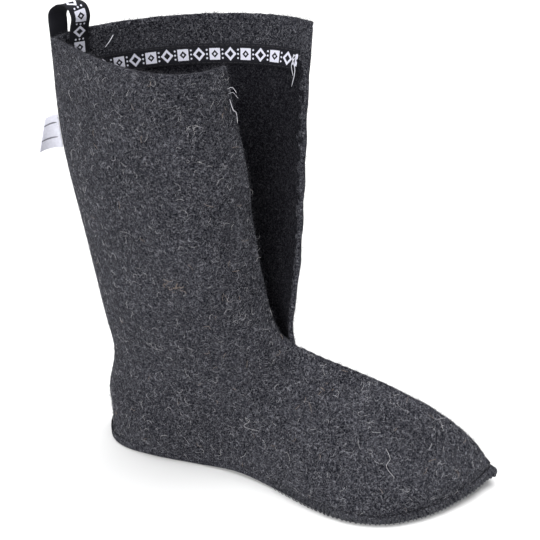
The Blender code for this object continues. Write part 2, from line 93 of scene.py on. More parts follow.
# Fineness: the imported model's facets, and how many finer ones replace each
ROW_STEPS = 4
COLUMN_STEPS = 12
EDGE_STEPS = 20
LOOP_STEPS = 10
TAPE_STEPS = 90
LABEL_STEPS = 18
SOLE_ROWS, SOLE_COLUMNS = 150, 25
FINE_ROWS = 5
FINE_COLUMNS = 5
SECTION_ROWS = ROW_STEPS * FINE_ROWS
PANEL_COLUMNS = COLUMN_STEPS * FINE_COLUMNS
LATERAL, MEDIAL = SIDES = 1, -1

# Sole outline from heel back to toe tip: along is a share of the foot length, and the two widths are
# shares of the ball width.
SOLE_EDGE = (
    # place        along  lateral medial
    ("heel_back", 0.000, 0.000, 0.000),
    ("heel_corner", 0.022, 0.185, 0.180),
    ("heel_round", 0.075, 0.288, 0.280),
    ("heel_side", 0.165, 0.318, 0.310),
    ("waist_back", 0.290, 0.312, 0.286),
    ("waist", 0.395, 0.330, 0.275),
    ("waist_front", 0.505, 0.408, 0.298),
    ("ball_back", 0.618, 0.515, 0.366),
    ("ball", 0.710, 0.557, 0.424),
    ("toes_back", 0.790, 0.518, 0.432),
    ("toes", 0.862, 0.400, 0.396),
    ("toe_side", 0.922, 0.238, 0.322),
    ("toe_round", 0.970, 0.055, 0.222),
    ("toe_tip", 1.000, -0.125, 0.125),
)
SOLE_RISE = (
    # place      along  arch toe
    ("heel_back", 0.00, 0.0, 0.0),
    ("heel_front", 0.26, 0.0, 0.0),
    ("arch", 0.40, 1.0, 0.0),
    ("ball_back", 0.54, 0.0, 0.0),
    ("ball_front", 0.76, 0.0, 0.0),
    ("toes", 0.88, 0.0, 0.3),
    ("toe_tip", 1.00, 0.0, 1.0),
)
# Sections of the panels, from the collar down the heel and on to the toe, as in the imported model.
SECTIONS = (
    # place       lean  height seat  along  ridge
    ("collar", 1.000, 1.000, None, None, None),
    ("calf", 0.930, 0.765, None, None, None),
    ("shin", 0.450, 0.510, None, None, None),
    ("ankle", 0.100, 0.325, None, None, None),
    ("throat", -0.110, 0.215, None, None, 1.000),
    ("heel", 0.130, 0.100, None, 0.526, 0.985),
    ("heel_seat", 0.000, None, 0.000, 0.545, 0.962),
    ("heel_corner", None, None, 0.072, 0.557, 0.947),
    ("heel_side", None, None, 0.155, 0.572, 0.930),
    ("waist", None, None, 0.320, 0.608, 0.894),
    ("instep", None, None, 0.480, 0.666, 0.838),
    ("ball", None, None, 0.630, 0.752, 0.742),
    ("toes", None, None, 0.770, 0.850, 0.595),
    ("toe_cap", None, None, 0.880, 0.936, 0.405),
    ("toe_end", None, None, 0.955, 0.982, 0.250),
    ("toe_tip", None, None, 1.000, 1.000, None),
)
SLIT_EDGES = (
    # place     height lateral_forward lateral_out medial_height medial_forward medial_out
    ("collar", 0.994, 0.572, 1.00, 1.034, 0.910, 1.00),
    ("calf", 0.765, 0.682, 0.64, 0.790, 0.950, 0.63),
    ("shin", 0.522, 0.768, 0.30, 0.525, 0.978, 0.30),
    ("ankle", 0.372, 0.862, 0.08, 0.372, 0.975, 0.08),
)
LATERAL_SWELL = (
    # place      back: out fwd up   front: out fwd up
    ("collar", 0.26, 0.36, 0.00, 0.47, -0.16, 0.00),
    ("calf", 0.30, 0.28, 0.00, 0.45, -0.14, 0.00),
    ("shin", 0.32, 0.23, 0.00, 0.42, -0.10, 0.00),
    ("ankle", 0.31, 0.20, 0.00, 0.38, -0.07, 0.00),
    ("throat", 0.32, 0.14, 0.00, 0.30, -0.08, -0.10),
    ("heel", 0.31, 0.09, 0.03, 0.25, -0.12, -0.15),
    ("heel_seat", 0.30, 0.04, 0.13, 0.23, -0.11, -0.18),
    ("heel_corner", 0.145, 0.12, 0.14, 0.24, -0.13, -0.19),
    ("heel_side", 0.02, 0.11, 0.18, 0.26, -0.12, -0.19),
    ("waist", 0.02, 0.05, 0.28, 0.27, -0.10, -0.19),
    ("instep", 0.03, 0.02, 0.38, 0.28, -0.05, -0.20),
    ("ball", 0.03, 0.00, 0.36, 0.34, -0.02, -0.22),
    ("toes", 0.03, 0.00, 0.36, 0.36, 0.00, -0.22),
    ("toe_cap", 0.04, 0.02, 0.36, 0.33, 0.03, -0.18),
    ("toe_end", 0.05, 0.05, 0.36, 0.25, 0.06, -0.12),
    ("toe_tip", 0.00, 0.00, 0.33, 0.00, 0.00, -0.33),
)
MEDIAL_SWELL = (
    # place      back: out fwd up   front: out fwd up
    ("collar", 0.31, 0.10, 0.02, 0.24, -0.27, -0.02),
    ("calf", 0.33, 0.12, 0.00, 0.28, -0.25, -0.02),
    ("shin", 0.34, 0.14, 0.00, 0.32, -0.20, 0.00),
    ("ankle", 0.34, 0.12, 0.00, 0.33, -0.12, 0.00),
    ("throat", 0.32, 0.12, 0.00, 0.29, -0.08, -0.12),
    ("heel", 0.30, 0.09, 0.03, 0.24, -0.12, -0.17),
    ("heel_seat", 0.29, 0.04, 0.13, 0.22, -0.11, -0.20),
    ("heel_corner", 0.135, 0.12, 0.14, 0.23, -0.13, -0.21),
    ("heel_side", 0.02, 0.11, 0.18, 0.25, -0.12, -0.21),
    ("waist", 0.02, 0.05, 0.28, 0.25, -0.10, -0.21),
    ("instep", 0.03, 0.02, 0.36, 0.25, -0.05, -0.22),
    ("ball", 0.03, 0.00, 0.36, 0.29, -0.02, -0.23),
    ("toes", 0.03, 0.00, 0.36, 0.30, 0.00, -0.22),
    ("toe_cap", 0.04, 0.02, 0.36, 0.28, 0.03, -0.18),
    ("toe_end", 0.05, 0.05, 0.36, 0.22, 0.06, -0.12),
    ("toe_tip", 0.00, 0.00, 0.33, 0.00, 0.00, -0.33),
)
LOOP_PATH = (
    # place        along through bulge up
    ("outer_foot", 0.60, 0.00, 0.00, -0.70),
    ("outer_hem", 0.62, 0.00, 0.00, -0.25),
    ("outer_rise", 0.68, 0.00, -0.20, 0.22),
    ("outer_lean", 0.86, 0.00, -0.62, 0.66),
    ("outer_top", 1.08, 0.25, -0.50, 0.93),
    ("top", 1.28, 0.50, 0.00, 1.04),
    ("inner_top", 1.44, 0.75, 0.50, 0.92),
    ("inner_lean", 1.50, 1.00, 0.56, 0.60),
    ("inner_rise", 1.46, 1.00, 0.25, 0.20),
    ("inner_hem", 1.42, 1.00, 0.00, -0.25),
    ("inner_foot", 1.38, 1.00, 0.00, -1.00),
)
THROAT_ROW = [row[0] for row in SECTIONS].index("throat")
HEEL_SEAT_ROW = [row[0] for row in SECTIONS].index("heel_seat")
LAST_ROW = len(SECTIONS) - 1
FINE_THROAT = THROAT_ROW * SECTION_ROWS
FINE_HEEL_SEAT = HEEL_SEAT_ROW * SECTION_ROWS
SHARPEST_CREASE = 0.5
EASING = 0.5
EASING_PASSES = 20
EASED_SHARES = (0.0, 0.35, 0.8, 1.0)
EASED_ROWS = (THROAT_ROW - 0.5, THROAT_ROW + 1, HEEL_SEAT_ROW + 1.5, HEEL_SEAT_ROW + 3)

# The felt's own unevenness: height, wavelength and seed of each layer, the broadest one first
SWAY = ((0.0009, 0.075, 3), (0.00035, 0.022, 4), (0.00014, 0.007, 5))
# The sole's underside, in the same way, and the most that it may rise
SOLE_NAP = ((0.00018, 0.009, 21), (0.0001, 0.004, 22))
SOLE_NAP_MOST = 0.0005
# The sole's rounded edge: how far in it starts, and how much it rises
SOLE_ROUND = 0.0022
SOLE_TUCK = 0.0012
# Relief fades out over this share of a panel's width at its sewn sides.
SEAM_FADE = 1 / 12
# The dimples along the vamp's sewn ridge
RIDGE_PITCH = 0.0072
RIDGE_DIMPLE = 0.0007
RIDGE_REACH = 0.0045
# The rounded cut edge: shares of the wall from its outer face, and how far each stands out, in walls
RIM_ROUNDING = ((0.2, 0.13), (0.5, 0.20), (0.8, 0.13))
RIM_WAVE = 0.006
# The darker inner felt, painted shade for the inside of the boot, ends at this share of the panel's width,
# give or take the blur.
INSIDE_MARGIN = 0.955
INSIDE_BLUR = 0.014

# The ribbon is patterned on one face only: its other face lies this far off the pattern on the map.
PLAIN_SIDE = 1.0
MOTIF_PITCH = 0.0118

# Soft troughs (negative depth) and ridges pressed into the felt: points are (section row, share across the
# panel), then depth and width in metres.
DENTS = (
    # side    depth    width   points
    (LATERAL, -0.0022, 0.011, ((2.9, 0.22), (3.3, 0.36), (4.3, 0.43), (7.1, 0.45), (9.0, 0.20))),
    (LATERAL, 0.0026, 0.012, ((4.6, 0.10), (5.4, 0.17), (6.2, 0.23), (7.4, 0.24), (8.4, 0.10))),
    (LATERAL, -0.0018, 0.011, ((3.6, 0.06), (4.6, 0.04), (5.6, 0.10), (6.6, 0.11))),
    (LATERAL, -0.0012, 0.010, ((3.4, 0.62), (4.1, 0.74), (4.7, 0.84))),
    (LATERAL, -0.0010, 0.012, ((9.6, 0.25), (9.8, 0.45), (9.6, 0.62))),
    (LATERAL, -0.0008, 0.016, ((1.5, 0.30), (1.9, 0.45), (2.6, 0.52))),
    (MEDIAL, -0.0022, 0.011, ((2.9, 0.20), (3.4, 0.36), (4.3, 0.44), (7.1, 0.45), (9.0, 0.20))),
    (MEDIAL, 0.0016, 0.014, ((5.2, 0.12), (5.8, 0.22), (6.6, 0.25))),
    (MEDIAL, -0.0012, 0.010, ((3.4, 0.60), (4.1, 0.73), (4.7, 0.84))),
    (MEDIAL, -0.0010, 0.012, ((9.8, 0.30), (10.0, 0.48), (9.8, 0.62))),
)

# Stitches of the tape, and yarn of the overlock. Turns are angles over the roll, from its outermost line.
STITCH_LENGTH = 0.0030
STITCH_PITCH = 0.0040
STITCH_START = 0.002
STITCH_INSET = 0.0012
STITCH_BOW = 0.00028
STITCH_DIP = 0.00008
OVERLOCK_PITCH = 0.0034
WRAP_TURNS = (-1.25, 1.5)
WRAP_LEAN = 0.0022
WRAP_STRAY = 0.0005
WRAP_LIFT = 0.0004
YARN_THINNEST = 0.00020
YARN_SWELL = 0.00044
CHAIN_TURN = 1.42
CHAIN_BOW = 0.06
CHAIN_LIFT = 0.0005
CHAIN_THINNESS = 0.75
SCALLOP_PITCH = 0.0036
SCALLOP_DEPTH = 0.10
SEAM_FLUSH = 0.20
SEAM_SINK = 0.0002
LOOP_CUP = 0.0004
TUBE_GUIDE = np.array([0.31, 0.57, 0.76])

# Fibres start this far under the felt's face, and nothing hangs lower than these heights.
FIBRE_ROOT = 0.0002
LOWEST_FIBRE = 0.0003
LOWEST_YARN = 0.0007

# Tangles of loose hair on the lateral panel, at listed spots: (section row, share, hairs)
TUFT_REACH = 0.0018
TAN_TUFTS = ((2.10, 0.57, 10), (9.50, 0.81, 3), (2.05, 0.53, 5))
PALE_TUFTS = ((0.52, 0.76, 9), (12.30, 0.93, 5), (1.50, 0.51, 3), (8.75, 0.47, 3), (1.75, 0.19, 3))

# Studio light, and the camera at the photograph's angle (degrees; azimuth 0 is behind the heel)
WORLD_LIGHT = 0.27
CAMERA_AZIMUTH, CAMERA_ELEVATION, CAMERA_DISTANCE = 108.5, 29.0, 0.850
CAMERA_TARGET = (0.0, 0.090, 0.140)


# The panels' surface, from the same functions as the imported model


def through(knots, at):
    """A smooth curve through the rows of knots (Catmull-Rom), read at row numbers from 0 to the last."""
    knots = np.asarray(knots, float)
    at = np.clip(np.asarray(at, float), 0.0, len(knots) - 1.0)
    before = np.minimum(at.astype(int), len(knots) - 2)
    share = (at - before)[..., None]
    start, end = knots[before], knots[before + 1]
    start_slope = (end - knots[np.maximum(before - 1, 0)]) / np.where(before > 0, 2.0, 1.0)[..., None]
    after = np.minimum(before + 2, len(knots) - 1)
    end_slope = (knots[after] - start) / (after - before)[..., None]
    square, cube = share**2, share**3
    return (
        (2 * cube - 3 * square + 1) * start
        + (cube - 2 * square + share) * start_slope
        + (3 * square - 2 * cube) * end
        + (cube - square) * end_slope
    )


def through_bend(knots, at, bend):
    """The same, with a bend at one row number, where the line turns a corner."""
    at = np.asarray(at, float)
    first = through(knots[: bend + 1], np.minimum(at, bend))
    second = through(knots[bend:], np.maximum(at - bend, 0.0))
    return np.where((at <= bend)[..., None], first, second)


def smooth_line(knots, steps):
    """The curve through knots, with so many steps from each one to the next."""
    return through(knots, np.linspace(0, len(knots) - 1, steps * (len(knots) - 1) + 1))


def foot_y(along):
    return along * FOOT_LENGTH - HEEL_SETBACK


def share_of_foot(y):
    return (np.asarray(y, float) + HEEL_SETBACK) / FOOT_LENGTH


def sole_rise(y):
    """Height of the sole's underside above the floor."""
    along = share_of_foot(y)
    places = [row[1] for row in SOLE_RISE]
    arch = np.interp(along, places, [row[2] for row in SOLE_RISE])
    toe = np.interp(along, places, [row[3] for row in SOLE_RISE])
    return ARCH_LIFT * arch * arch * (3 - 2 * arch) + TOE_SPRING * toe**1.5


def seat_height(y):
    return sole_rise(y) + SOLE_THICKNESS + CLEARANCE


def edge_curve():
    """The sole's edge in plan, from the toe tip round the lateral side and the heel back to the tip."""
    lateral = [(row[2] * BALL_WIDTH, foot_y(row[1])) for row in SOLE_EDGE]
    medial = [(-row[3] * BALL_WIDTH, foot_y(row[1])) for row in SOLE_EDGE]
    return smooth_line(lateral[::-1] + medial[1:], EDGE_STEPS)


def side_edge(side):
    """One side's edge as (points from the heel back to the toe tip, share of its length at each)."""
    whole = edge_curve()
    half = len(whole) // 2
    points = whole[: half + 1][::-1] if side == LATERAL else whole[half:]
    run = measured(points)
    return points, run / run[-1]


def seat_point(side, seat):
    """Where the panel's lower edge meets the sole, at a share of that side's edge."""
    points, shares = side_edge(side)
    x = np.interp(seat, shares, points[:, 0])
    y = np.interp(seat, shares, points[:, 1])
    return np.stack([x, y, seat_height(y)], axis=-1)


def seats_of(rows):
    """Shares of one side's edge where the foot's sections stand, at these row numbers."""
    seats = [(row[3],) for row in SECTIONS[HEEL_SEAT_ROW:]]
    return through(seats, np.maximum(np.asarray(rows, float) - HEEL_SEAT_ROW, 0.0))[..., 0]


def back_end(side, rows):
    """The back end of the sections at these row numbers: down the back seam, then round the sole's edge."""
    heel_back = seat_point(side, 0.0)
    seam = [
        (0.0, -HEEL_SETBACK - row[1] * BACK_LEAN, row[2] * COLLAR_HEIGHT)
        for row in SECTIONS[:HEEL_SEAT_ROW]
    ]
    seam.append(tuple(heel_back))
    rows = np.asarray(rows, float)
    on_seam = through(seam, np.minimum(rows, HEEL_SEAT_ROW))
    return np.where((rows <= HEEL_SEAT_ROW)[..., None], on_seam, seat_point(side, seats_of(rows)))


def front_end(side, rows):
    """The front end of the sections at these row numbers: down the slit, then along the vamp's ridge."""
    toe = seat_point(side, 1.0)
    throat = (0.0, THROAT_FORWARD, THROAT_HEIGHT)
    height, forward, out = (1, 2, 3) if side == LATERAL else (4, 5, 6)
    spread = LATERAL_FLAP_OUT if side == LATERAL else MEDIAL_FLAP_OUT
    line = [
        (side * row[out] * spread, row[forward] * THROAT_FORWARD, row[height] * COLLAR_HEIGHT)
        for row in SLIT_EDGES
    ]
    line.append(throat)
    for row in SECTIONS[THROAT_ROW + 1 : LAST_ROW]:
        y = foot_y(row[4])
        swing = (y - THROAT_FORWARD) / (toe[1] - THROAT_FORWARD)
        line.append((toe[0] * swing, y, row[5] * THROAT_HEIGHT))
    line.append((toe[0], toe[1], toe[2] + TOE_FACE_HEIGHT))
    return through_bend(line, rows, THROAT_ROW)


def panel(side, rows, shares):
    """Points of one panel's outer face, for each row number and each share from its back to its front."""
    rows = np.asarray(rows, float)
    back, front = back_end(side, rows), front_end(side, rows)
    swell = LATERAL_SWELL if side == LATERAL else MEDIAL_SWELL
    back_handle = through_bend([row[1:4] for row in swell], rows, HEEL_SEAT_ROW)
    front_handle = through_bend([row[4:] for row in swell], rows, THROAT_ROW)
    chord = np.linalg.norm(front - back, axis=-1)[..., None]
    mirror = np.array([side, 1.0, 1.0])
    first = back + back_handle * mirror * chord
    second = front + front_handle * mirror * chord
    share = np.asarray(shares, float)
    weights = ((1 - share) ** 3, 3 * share * (1 - share) ** 2, 3 * share**2 * (1 - share), share**3)
    ends = (back, first, second, front)
    return sum(end[..., None, :] * weight[..., None] for end, weight in zip(ends, weights))


def side_grid(side):
    """One panel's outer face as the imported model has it, eased where the sections fan out round the heel."""
    rows = np.linspace(0, LAST_ROW, LAST_ROW * ROW_STEPS + 1)
    shares = np.linspace(0, 1, COLUMN_STEPS + 1)
    grid = panel(side, rows, shares)
    fade = (0, 1, 1, 0)
    ease = np.outer(np.interp(rows, EASED_ROWS, fade), np.interp(shares, EASED_SHARES, fade))
    for _ in range(EASING_PASSES):
        middle = (grid[:-2] + grid[2:]) / 2
        grid[1:-1] += (middle - grid[1:-1]) * EASING * ease[1:-1, :, None]
    return grid


def unit(vectors):
    """The same directions with length 1. The vectors are the last axis."""
    return vectors / np.maximum(np.linalg.norm(vectors, axis=-1), 1e-12)[..., None]


def inward(grid, side):
    """Unit directions from a grid of one panel's points into the boot."""
    return unit(np.cross(np.gradient(grid, axis=1), np.gradient(grid, axis=0)) * side)


def mitre(one, other):
    """The step that lies 1 under two faces that meet in a crease, from their unit directions."""
    return (one + other) / np.maximum(1 + (one * other).sum(axis=-1), SHARPEST_CREASE)[..., None]


def grid_at_depth(side, depth):
    """One panel's grid at a depth under its outer face, mitred at both seams and level on the sole."""
    grid = side_grid(side)
    step = inward(grid, side)
    other = inward(side_grid(-side), -side)
    throat, heel = THROAT_ROW * ROW_STEPS, HEEL_SEAT_ROW * ROW_STEPS
    step[: heel + 1, 0] = mitre(step[: heel + 1, 0], other[: heel + 1, 0])
    step[throat:, -1] = mitre(step[throat:, -1], other[throat:, -1])
    step[heel + 1 :, 0, 2] = 0.0
    step[heel + 1 :, 0] = unit(step[heel + 1 :, 0])
    moved = grid + depth * step
    moved[heel:, 0, 2] = seat_height(moved[heel:, 0, 1])
    return moved


def finer(grid):
    """A grid with finer steps, smooth but for the bends at the heel's back corner and at the throat."""
    count, columns = grid.shape[:2]
    rows = np.linspace(0, count - 1, (count - 1) * FINE_ROWS + 1)
    flat = grid.reshape(count, -1)
    shape = (len(rows), columns, 3)
    share = np.linspace(0, 1, columns)[None, :, None]
    smooth = through(flat, rows).reshape(shape)
    heel = through_bend(flat, rows, HEEL_SEAT_ROW * ROW_STEPS).reshape(shape)
    throat = through_bend(flat, rows, THROAT_ROW * ROW_STEPS).reshape(shape)
    smooth = smooth + np.clip(1 - share * 4, 0, 1) * (heel - smooth)
    smooth = smooth + np.clip(share * 4 - 3, 0, 1) * (throat - smooth)
    across = np.linspace(0, columns - 1, (columns - 1) * FINE_COLUMNS + 1)
    turned = through(smooth.transpose(1, 0, 2).reshape(columns, -1), across)
    return turned.reshape(len(across), len(rows), 3).transpose(1, 0, 2)


def measured(points):
    """Distance along a line of points from its first one."""
    return np.concatenate([[0.0], np.cumsum(np.linalg.norm(np.diff(points, axis=0), axis=1))])


def read_along(values, run, distance):
    """Rows of values at a distance, or distances, where run gives each row's own distance."""
    return np.stack([np.interp(distance, run, column) for column in values.T], axis=-1)


def point_along(points, distance):
    """The point, or points, of a line at a distance from its first one."""
    return read_along(points, measured(points), distance)


# Meshes


def add_object(name, data):
    made = bpy.data.objects.new(name, data)
    bpy.context.scene.collection.objects.link(made)
    return made


def add_mesh(name, points, faces, surface, uvs=None):
    """A smooth piece from points and faces, which rides the boot's one body."""
    mesh = bpy.data.meshes.new(name)
    mesh.from_pydata(np.asarray(points, float).tolist(), [], faces)
    if uvs is not None:
        layer = mesh.uv_layers.new(name="cloth")
        corners = np.zeros(len(mesh.loops), np.int32)
        mesh.loops.foreach_get("vertex_index", corners)
        layer.data.foreach_set("uv", np.asarray(uvs, np.float32)[corners].ravel())
    mesh.polygons.foreach_set("use_smooth", [True] * len(mesh.polygons))
    mesh.materials.append(surface)
    mesh.update()
    made = add_object(name, mesh)
    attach(made, "root")
    return made


def weld(made, distance=1e-6):
    """Joins a piece's equal points and turns its faces outwards."""
    work = bmesh.new()
    work.from_mesh(made.data)
    bmesh.ops.remove_doubles(work, verts=work.verts, dist=distance)
    bmesh.ops.recalc_face_normals(work, faces=work.faces)
    work.to_mesh(made.data)
    work.free()
    return made


def grid_faces(rows, columns, first=0, ring=False):
    """Quads of a grid of points, numbered row by row. A ring joins its last column to its first."""
    row = np.arange(rows - 1)[:, None] * columns
    column = np.arange(columns if ring else columns - 1)[None, :]
    after = (column + 1) % columns
    quads = np.stack([row + column, row + after, row + columns + after, row + columns + column], axis=-1)
    return (quads.reshape(-1, 4) + first).tolist()


def strip_faces(*lines):
    """Quads between each line of point numbers and the next one."""
    faces = []
    for one, two in zip(lines[:-1], lines[1:]):
        faces += np.stack([one[:-1], one[1:], two[1:], two[:-1]], axis=-1).tolist()
    return faces


def tube_faces(count, sides, first=0):
    """Faces of a closed tube: count rings of points, numbered from first, with a face over each end."""
    last = first + (count - 1) * sides
    ends = [list(range(first, first + sides))[::-1], list(range(last, last + sides))]
    return grid_faces(count, sides, first, ring=True) + ends


def waves(points, wavelength, seed, count=16):
    """A soft random relief between about -1 and 1, from seeded plane waves of about one wavelength."""
    rng = np.random.default_rng(seed)
    heading = unit(rng.normal(size=(count, 3)))
    pace = 2 * math.pi / (wavelength * rng.uniform(0.7, 1.5, count))
    phase = rng.uniform(0, 2 * math.pi, count)
    return np.sin(points @ (heading * pace[:, None]).T + phase).sum(axis=-1) / math.sqrt(count)


def relief_of(points, layers):
    """Layers of waves, each with its height, wavelength and seed, added up at each point."""
    return sum(height * waves(points, wavelength, seed) for height, wavelength, seed in layers)


def dent_relief(grid, side):
    """Height in metres of the listed troughs and ridges at each point of one panel's fine grid."""
    relief = np.zeros(grid.shape[:2])
    for dent_side, depth, width, marks in DENTS:
        if dent_side != side:
            continue
        line = through(marks, np.linspace(0, len(marks) - 1, 12 * len(marks)))
        row = np.clip(line[:, 0] * SECTION_ROWS, 0, grid.shape[0] - 1).astype(int)
        column = np.clip(line[:, 1] * PANEL_COLUMNS, 0, grid.shape[1] - 1).astype(int)
        spots = grid[row, column]
        nearest = np.full(grid.shape[:2], np.inf)
        for spot, along in zip(spots, np.linspace(0, 1, len(spots))):
            fade = 0.35 + 0.65 * math.sin(math.pi * along)
            nearest = np.minimum(nearest, ((grid - spot) ** 2).sum(axis=-1) + (1 - fade) * width**2)
        relief += depth * np.exp(-nearest / width**2)
    return relief


def ridge_relief(grid):
    """The ridge of the vamp is sewn, so it dimples at each stitch. Height at each point of a fine grid."""
    ridge = grid[:, -1]
    reach = np.linalg.norm(grid - ridge[:, None, :], axis=-1)
    rows_at = np.arange(len(grid))[:, None] / SECTION_ROWS
    on_vamp = np.clip((rows_at - THROAT_ROW) / 0.3, 0, 1) * np.clip((LAST_ROW - 0.4 - rows_at) / 0.5, 0, 1)
    pull = 0.5 + 0.5 * np.cos(2 * math.pi * measured(ridge) / RIDGE_PITCH)[:, None]
    return -RIDGE_DIMPLE * pull * np.exp(-((reach / RIDGE_REACH) ** 2)) * on_vamp


def felt_grids(side):
    """One panel's fine outer and inner grids, with dents and the felt's own unevenness."""
    outer = finer(side_grid(side))
    depth_grid = grid_at_depth(side, WALL).reshape(LAST_ROW * ROW_STEPS + 1, -1)
    # The hollow ends a section before the toe's tip, so its last two sections are half as long.
    hollow = np.arange(len(depth_grid), dtype=float)
    hollow[-2 * ROW_STEPS :] -= np.arange(1, 2 * ROW_STEPS + 1) / 2
    inner = finer(through(depth_grid, hollow).reshape(LAST_ROW * ROW_STEPS + 1, COLUMN_STEPS + 1, 3))
    out = -inward(outer, side)
    share = np.linspace(0, 1, outer.shape[1])[None, :]
    rows_at = np.arange(outer.shape[0])[:, None] / SECTION_ROWS
    back, front = np.clip(share / SEAM_FADE, 0, 1), np.clip((1 - share) / SEAM_FADE, 0, 1)
    seams = back * np.where(rows_at > THROAT_ROW, front, 1.0)
    relief = seams * (dent_relief(outer, side) + relief_of(outer, SWAY)) + ridge_relief(outer)
    outer = outer + out * relief[..., None]
    inner = inner + out * (seams * (dent_relief(inner, side) + relief_of(outer, SWAY[:1])))[..., None]
    return outer, inner


def rims(grid, inset=0):
    """The collar's and the slit's edge of one panel's fine grid, or the lines so many points in from them."""
    return grid[inset], grid[: FINE_THROAT + 1, -1 - inset]


def make_upper(surface, inside, grids):
    """Both panels as one felt wall with a rounded, fluffed cut edge. The inner faces below the tape, up to an
    uneven margin along the slit, take a darker felt: painted shade for the inside of the boot."""
    points, faces, nose, painted_shade_masks = [], [], [], []
    rng = np.random.default_rng(31)
    rows, columns = grids[LATERAL][0].shape[:2]
    numbers = np.arange(rows * columns).reshape(rows, columns)
    seat = numbers[FINE_HEEL_SEAT:, 0]
    total = 0
    for side in SIDES:
        outer, inner = grids[side]
        inner_first = total + rows * columns
        points += [outer.reshape(-1, 3), inner.reshape(-1, 3)]
        # Painted shade: the inner faces below the tape, short of an uneven margin along the slit, get the
        # darker felt.
        drop = np.cumsum(np.linalg.norm(np.diff(inner, axis=0), axis=-1), axis=0)
        below = drop[:, :-1] > TAPE_DROP + RIBBON_WIDTH / 2
        margin = columns * (INSIDE_MARGIN + rng.normal(0.0, INSIDE_BLUR, below.shape))
        below &= np.arange(columns - 1)[None, :] < margin
        painted_shade_masks.append(below.ravel())
        faces += grid_faces(rows, columns, total) + grid_faces(rows, columns, inner_first)
        nose.append(numbers[-1] + inner_first)
        after = inner_first + rows * columns
        for edge, near, far, deep in zip(rims(numbers), rims(outer), rims(inner), rims(outer, 2)):
            wobble = 0.6 + 0.4 * waves(near, RIM_WAVE, 9)[:, None]
            lines = [edge + total]
            for share, rise in RIM_ROUNDING:
                points.append(near + (far - near) * share + unit(near - deep) * (WALL * rise) * wobble)
                lines.append(np.arange(len(edge)) + after)
                after += len(edge)
            faces += strip_faces(*lines, edge + inner_first)
        faces += strip_faces(seat + total, seat + inner_first)
        total = after
    faces += strip_faces(*nose)
    made = add_mesh("upper_felt", np.vstack(points), faces, surface)
    made.data.materials.append(inside)
    cells = (rows - 1) * (columns - 1)
    per_side = (len(faces) - columns + 1) // 2
    # The masked inner faces take the second slot, the darker felt that paints the shade inside the boot.
    slots = np.zeros(len(faces), np.int32)
    for first, below in zip((0, per_side), painted_shade_masks):
        slots[first + cells : first + 2 * cells] = below
    made.data.polygons.foreach_set("material_index", slots)
    return weld(made)


def add_tubes(name, paths, radii, sides, surface):
    """Closed round tubes with tapered ends, one for each path of points."""
    points, faces, first = [], [], 0
    angles = np.linspace(0, 2 * math.pi, sides, endpoint=False)
    cosines, sines = np.cos(angles)[None, :, None], np.sin(angles)[None, :, None]
    for path, radius in zip(paths, radii):
        path = np.asarray(path, float)
        count = len(path)
        ahead = unit(np.gradient(path, axis=0))
        across = unit(np.cross(ahead, TUBE_GUIDE))
        up = np.cross(ahead, across)
        taper = np.sqrt(np.clip(np.sin(np.linspace(0.05, math.pi - 0.05, count)) * 4, 0, 1)) * radius
        ring = cosines * across[:, None, :] + sines * up[:, None, :]
        points.append((path[:, None, :] + ring * taper[:, None, None]).reshape(-1, 3))
        faces += tube_faces(count, sides, first)
        first += count * sides
    return add_mesh(name, np.vstack(points), faces, surface)


def roots_on(grids, count, rng):
    """Random places on the panels' outer faces, evenly by area: (points, outward directions)."""
    spots, facings, areas = [], [], []
    for side in SIDES:
        grid = grids[side][0]
        cell = np.cross(grid[1:, :-1] - grid[:-1, :-1], grid[:-1, 1:] - grid[:-1, :-1])
        areas.append(np.linalg.norm(cell, axis=-1).ravel())
    whole = sum(area.sum() for area in areas)
    for side, area in zip(SIDES, areas):
        grid = grids[side][0]
        number = int(round(count * area.sum() / whole))
        pick = rng.choice(len(area), number, p=area / area.sum())
        row, column = np.divmod(pick, grid.shape[1] - 1)
        u, v = rng.random(number)[:, None], rng.random(number)[:, None]
        spot = (grid[row, column] * (1 - u) + grid[row + 1, column] * u) * (1 - v)
        spot += (grid[row, column + 1] * (1 - u) + grid[row + 1, column + 1] * u) * v
        spots.append(spot)
        facings.append(-inward(grid, side)[row, column])
    return np.vstack(spots), np.vstack(facings)


def roots_on_rims(grids, count, rng):
    """Random places on the cut edges of the collar and the slit: (points, outward directions)."""
    spots, facings = [], []
    for side in SIDES:
        outer, inner = (grid[:FINE_THROAT] for grid in grids[side])
        for near, far, deep in zip(rims(outer), rims(inner), rims(outer, 2)):
            run = measured(near)
            places = rng.uniform(0, run[-1], count // 4)
            depth = rng.uniform(-0.05, 1.05, count // 4)[:, None]
            one = read_along(near, run, places)
            two = point_along(far, np.interp(places, run, measured(far)))
            out = read_along(unit(near - deep), run, places)
            spots.append(one + (two - one) * depth + out * WALL * 0.15)
            facings.append(out)
    return np.vstack(spots), np.vstack(facings)


def fuzz(name, roots, lengths, width, lift, bend, surface, rng):
    """Short wool fibres, each a closed sliver with one elbow, lying along the felt with their ends lifted."""
    spots, facings = roots
    count = len(spots)
    guide = rng.normal(size=(count, 3))
    along = unit(guide - facings * (guide * facings).sum(axis=1)[:, None])
    across = np.cross(facings, along)
    length = rng.uniform(*lengths, count)[:, None]
    rise = rng.uniform(*lift, count)[:, None]
    swing = rng.uniform(-bend, bend, count)[:, None]
    start = spots - facings * FIBRE_ROOT
    elbow = spots + along * length * 0.5 + facings * length * rise + across * length * swing
    tip = spots + along * length + facings * length * rise * rng.uniform(0.1, 1.6, count)[:, None]
    ring = [elbow + (across * math.cos(a) + facings * math.sin(a)) * width / 2 for a in (0.5, 2.6, 4.7)]
    points = np.stack([start, *ring, tip], axis=1).reshape(-1, 3)
    points[:, 2] = np.maximum(points[:, 2], LOWEST_FIBRE)
    pattern = np.array([(0, 2, 1), (0, 3, 2), (0, 1, 3), (4, 1, 2), (4, 2, 3), (4, 3, 1)])
    faces = (np.arange(count)[:, None, None] * 5 + pattern[None]).reshape(-1, 3)
    return add_mesh(name, points, faces.tolist(), surface)


